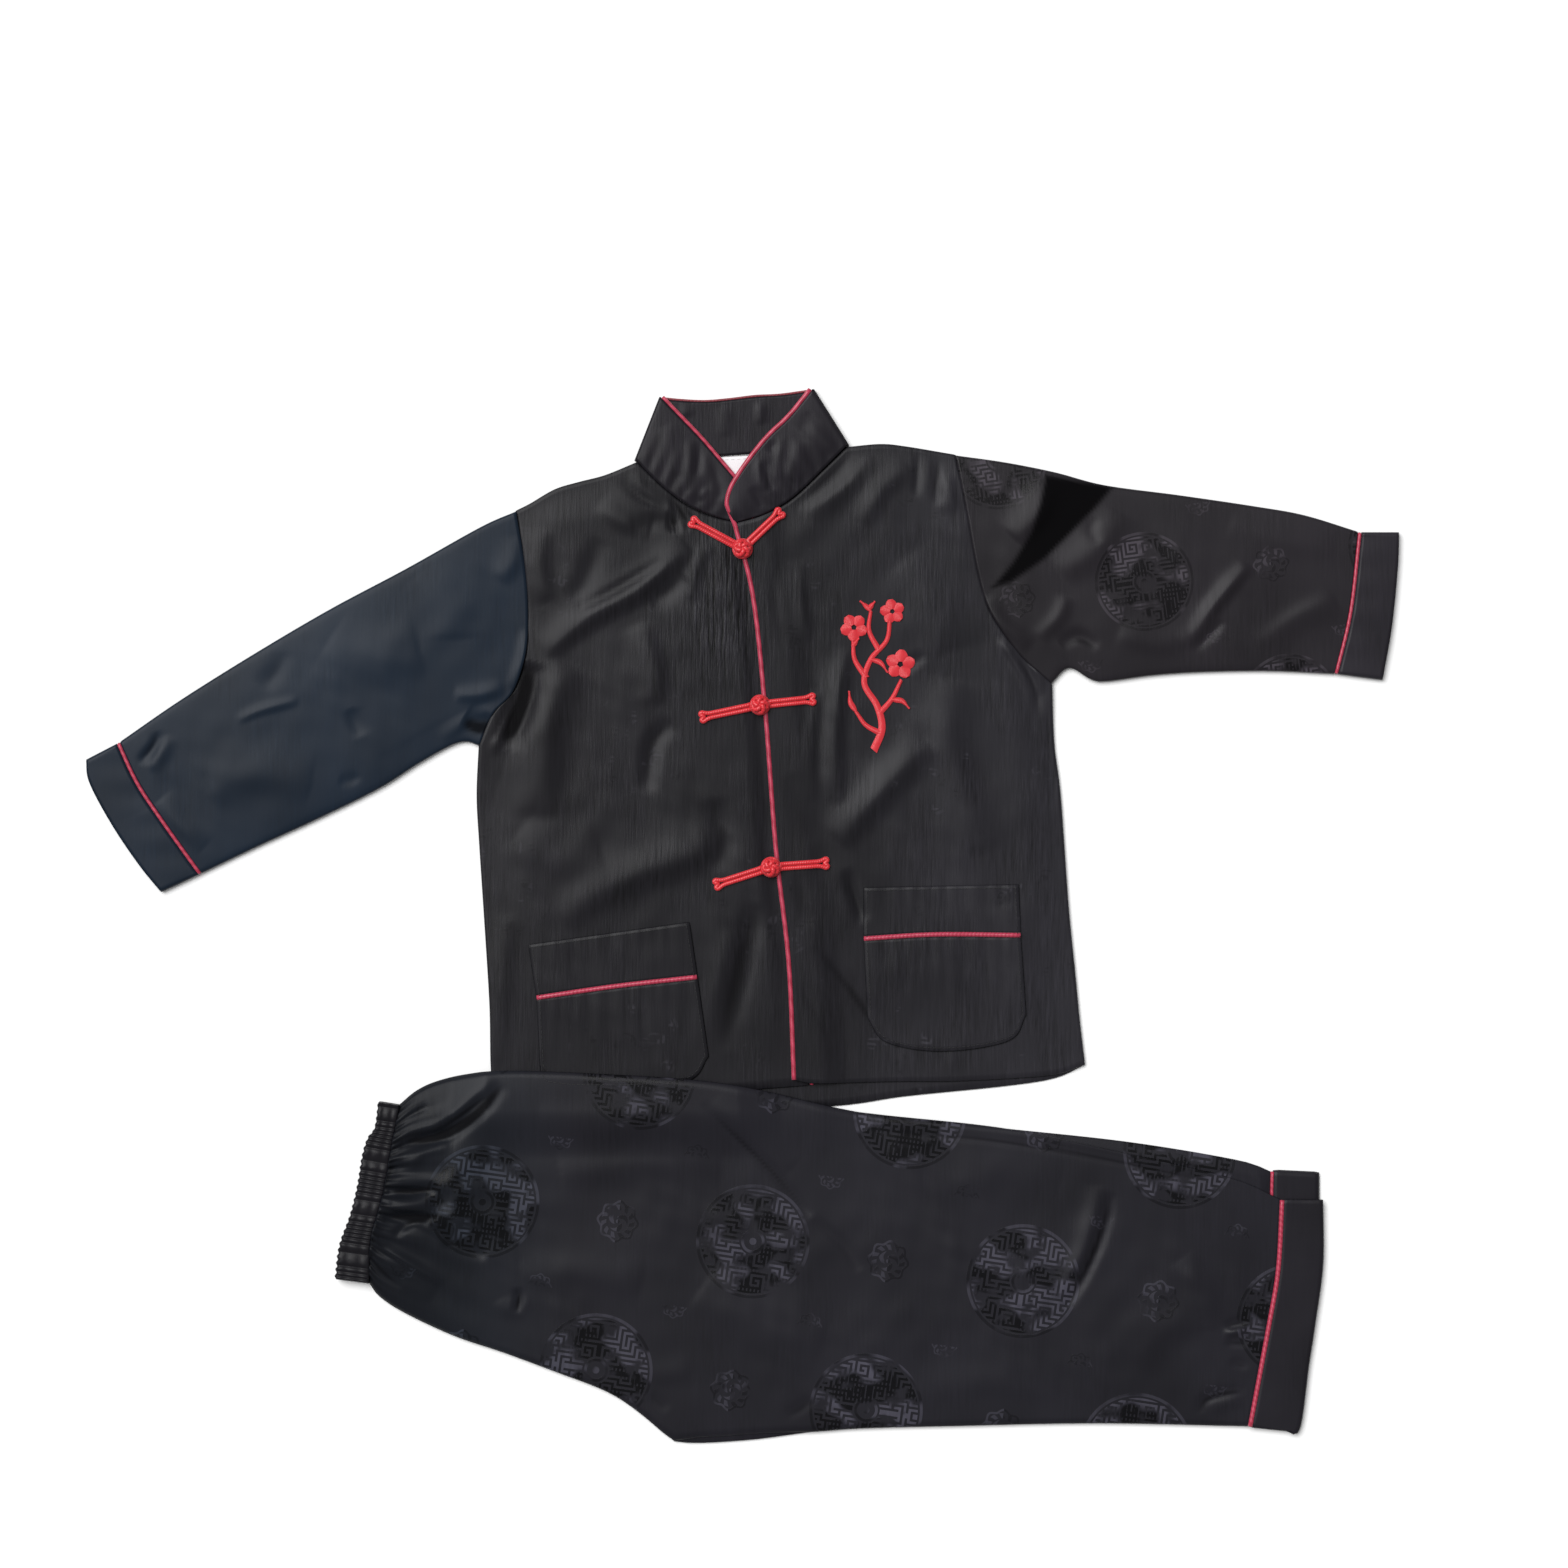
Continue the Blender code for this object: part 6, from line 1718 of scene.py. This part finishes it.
# %% Satin stitches across a line
Bar = namedtuple("Bar", "points wide tip")
LEAF_TIP = 0.8          # a bar with a narrower tip than this swells in its middle, as a leaf does
THREAD_PITCH = 0.62
BRANCH = [
    Bar([(82, 103.5), (87, 117), (84, 131), (76, 145), (80, 160), (90, 172), (92, 186)], 4.6, 1.9),
    Bar([(85, 126), (93, 135), (99, 147)], 3.4, 1.6),
    Bar([(77, 149), (70, 160), (69, 171)], 3.4, 1.6),
    Bar([(85, 166), (79, 178), (80, 190)], 3.2, 1.5),
    Bar([(86, 114), (77, 119), (71, 127)], 3.2, 1.5),
]
BLOSSOMS = [(98.5, 157, 9.0, 0.2), (69.5, 180, 8.4, 0.9), (93.5, 190, 7.6, 0.5)]
LEAVES = [Bar([(71, 127), (67.5, 133), (66.5, 140)], 5.0, 0.5),
          Bar([(80, 190), (77, 193.5), (73.5, 196.4)], 4.4, 0.5),
          Bar([(93, 135), (99.5, 134), (104, 129.5)], 5.0, 0.5),
          Bar([(80, 160), (86, 158), (90.5, 152)], 4.4, 0.5)]


def satin_bar(bar, lean=0.35):
    """Slanted threads across a line, wide at its start and narrow at its tip."""
    count = max(int(length_of(through(bar.points, 40)) / THREAD_PITCH), 3)
    line = through(bar.points, count)
    along = np.gradient(line, axis=0)
    along /= np.linalg.norm(along, axis=1)[:, None]
    side = np.column_stack([-along[:, 1], along[:, 0]]) + along * lean
    t = np.linspace(0, 1, count + 1)
    belly = np.sin(np.pi * (t * 0.94 + 0.03)) if bar.tip < LEAF_TIP else 1
    half = np.maximum((bar.wide + (bar.tip - bar.wide) * t) / 2 * belly, 0.35)
    return [(p - s * h, p + s * h) for p, s, h in zip(line, side, half)]


def petal(cx, cy, angle, size):
    """Threads across one round petal, from its root to its edge."""
    out = np.array([math.cos(angle), math.sin(angle)])
    side = np.array([-out[1], out[0]])
    stitches = []
    for d in np.arange(0.22 * size, size, THREAD_PITCH):
        t = (d / size - 0.22) / 0.78
        half = 0.43 * size * math.sin(math.pi * min(0.14 + 0.78 * t, 0.97)) ** 0.8
        middle = np.array([cx, cy]) + out * d
        stitches.append((middle - side * half, middle + side * half))
    return stitches


# %% The sprig's threads
SUNK = 0.35             # a thread's ends sit this high, less than its radius
flat_stitches = []
for bar in BRANCH + LEAVES:
    flat_stitches += satin_bar(bar)
for cx, cy, size, turn in BLOSSOMS:
    for k in range(5):
        flat_stitches += petal(cx, cy, turn + k * 2 * math.pi / 5, size)
for cx, cy in ((80.5, 193.5), (70.5, 170.5)):
    flat_stitches += satin_bar(Bar([(cx - 2.2, cy - 2.2), (cx, cy), (cx + 2.0, cy + 2.6)], 4.4, 0.5))
raised_stitches = [((*a, stack.height(*a) + SUNK), (*b, stack.height(*b) + SUNK))
                   for a, b in flat_stitches]
sprig = sew("embroidered_sprig", raised_stitches, 0.42, 0.75, thread_red)
print("embroidery stitches:", len(flat_stitches), "faces:", len(sprig.data.polygons))

# %% [markdown]
# ## What each cloth was cut from
# Each sheet's flat size that it was cut to is printed, with its area. Both come from the pattern's
# own tables: a panel's box, and the area of its grid. For a sleeve and a cuff the length all round
# is worked out but not used, and the collar is left out.

# %% The cuts
def cut_of(grid):
    flat = np.asarray(grid, float)[..., :2].reshape(-1, 2)
    spread = flat.max(axis=0) - flat.min(axis=0)
    return tuple(float(s) * MM for s in spread)


def declare(piece, grid):
    size, area = cut_of(grid), surface_area(np.asarray(grid))
    print(piece.name, [round(s * 1000) for s in size], "mm", round(area * 1e4), "cm2")


def declare_tube(sections):
    around = np.mean([length_of(list(s) + [s[0]]) for s in sections]) * MM


def sleeve_sections(arm):
    return [ring(row, SLEEVE_EDGE, np.full(len(row), SLEEVE_EDGE)) for row in arm[0]]


declare(back_panel, back_grid)
declare(front_left, over_grid)
declare(front_right, under_grid)
for arm in (left_arm, right_arm):
    declare_tube(sleeve_sections(arm))
    declare_tube(arm[4])
declare(neck_label, label_grid)
for grid, piece in pocket_parts:
    declare(piece, grid)
declare(leg_cloth, leg_grid)
declare(leg_layers, under_leg_grid)
declare(hem_low, hem_low_grid)
declare(hem_top, hem_top_grid)

# %% [markdown]
# ## The table, the light and the camera
# The suit lies on a white table under soft daylight from the upper left, so only a thin shadow
# shows below its lower and right edges. The camera looks straight down from 2.3 m with an 85 mm
# lens, which shows 980 mm of the table.

# %% Table
floor_mesh = bpy.data.meshes.new("table_top")
floor_mesh.from_pydata([(-6, -6, -0.0003), (6, -6, -0.0003), (6, 6, -0.0003), (-6, 6, -0.0003)],
                       [], [(0, 1, 2, 3)])
paper = Finish("table paper", 0.8)
x, y, z = paper.place()
grain = paper.noise(x, y, z, (40.0, 40.0))
floor_mesh.materials.append(paper.finish(
    paper.blend(grain, (0.93, 0.93, 0.93), (0.95, 0.95, 0.95))))
table = bpy.data.objects.new("table_top", floor_mesh)
bpy.context.scene.collection.objects.link(table)


# %% Light
def sun(name, place, softness, strength):
    """A lamp so far away that it lights the whole table evenly."""
    lamp = bpy.data.lights.new(name, "SUN")
    lamp.angle, lamp.energy = math.radians(softness), strength
    made = bpy.data.objects.new(name, lamp)
    made.location = place
    made.rotation_mode = "QUATERNION"
    made.rotation_quaternion = (-Vector(place)).to_track_quat("-Z", "Y")
    bpy.context.scene.collection.objects.link(made)
    return made


sun("window", (-1.05, 1.0, 2.2), 46, 3.25)
world = bpy.data.worlds.new("room")
world.use_nodes = True
world.node_tree.nodes["Background"].inputs["Color"].default_value = (1, 1, 1, 1)
world.node_tree.nodes["Background"].inputs["Strength"].default_value = 0.32
bpy.context.scene.world = world
bpy.context.scene.view_settings.view_transform = "Standard"

# %% Camera
VIEW_WIDTH, LENS, SENSOR = 0.980, 85.0, 36.0
VIEW_MIDDLE, CLOTH_LEVEL = (0.0258, 0.0822), 0.004
camera_data = bpy.data.cameras.new("camera")
camera_data.lens, camera_data.sensor_width = LENS, SENSOR
camera = bpy.data.objects.new("camera", camera_data)
camera.location = (*VIEW_MIDDLE, VIEW_WIDTH * LENS / SENSOR + CLOTH_LEVEL)
bpy.context.scene.collection.objects.link(camera)
bpy.context.scene.camera = camera
print("camera at", [round(c, 3) for c in camera.location])
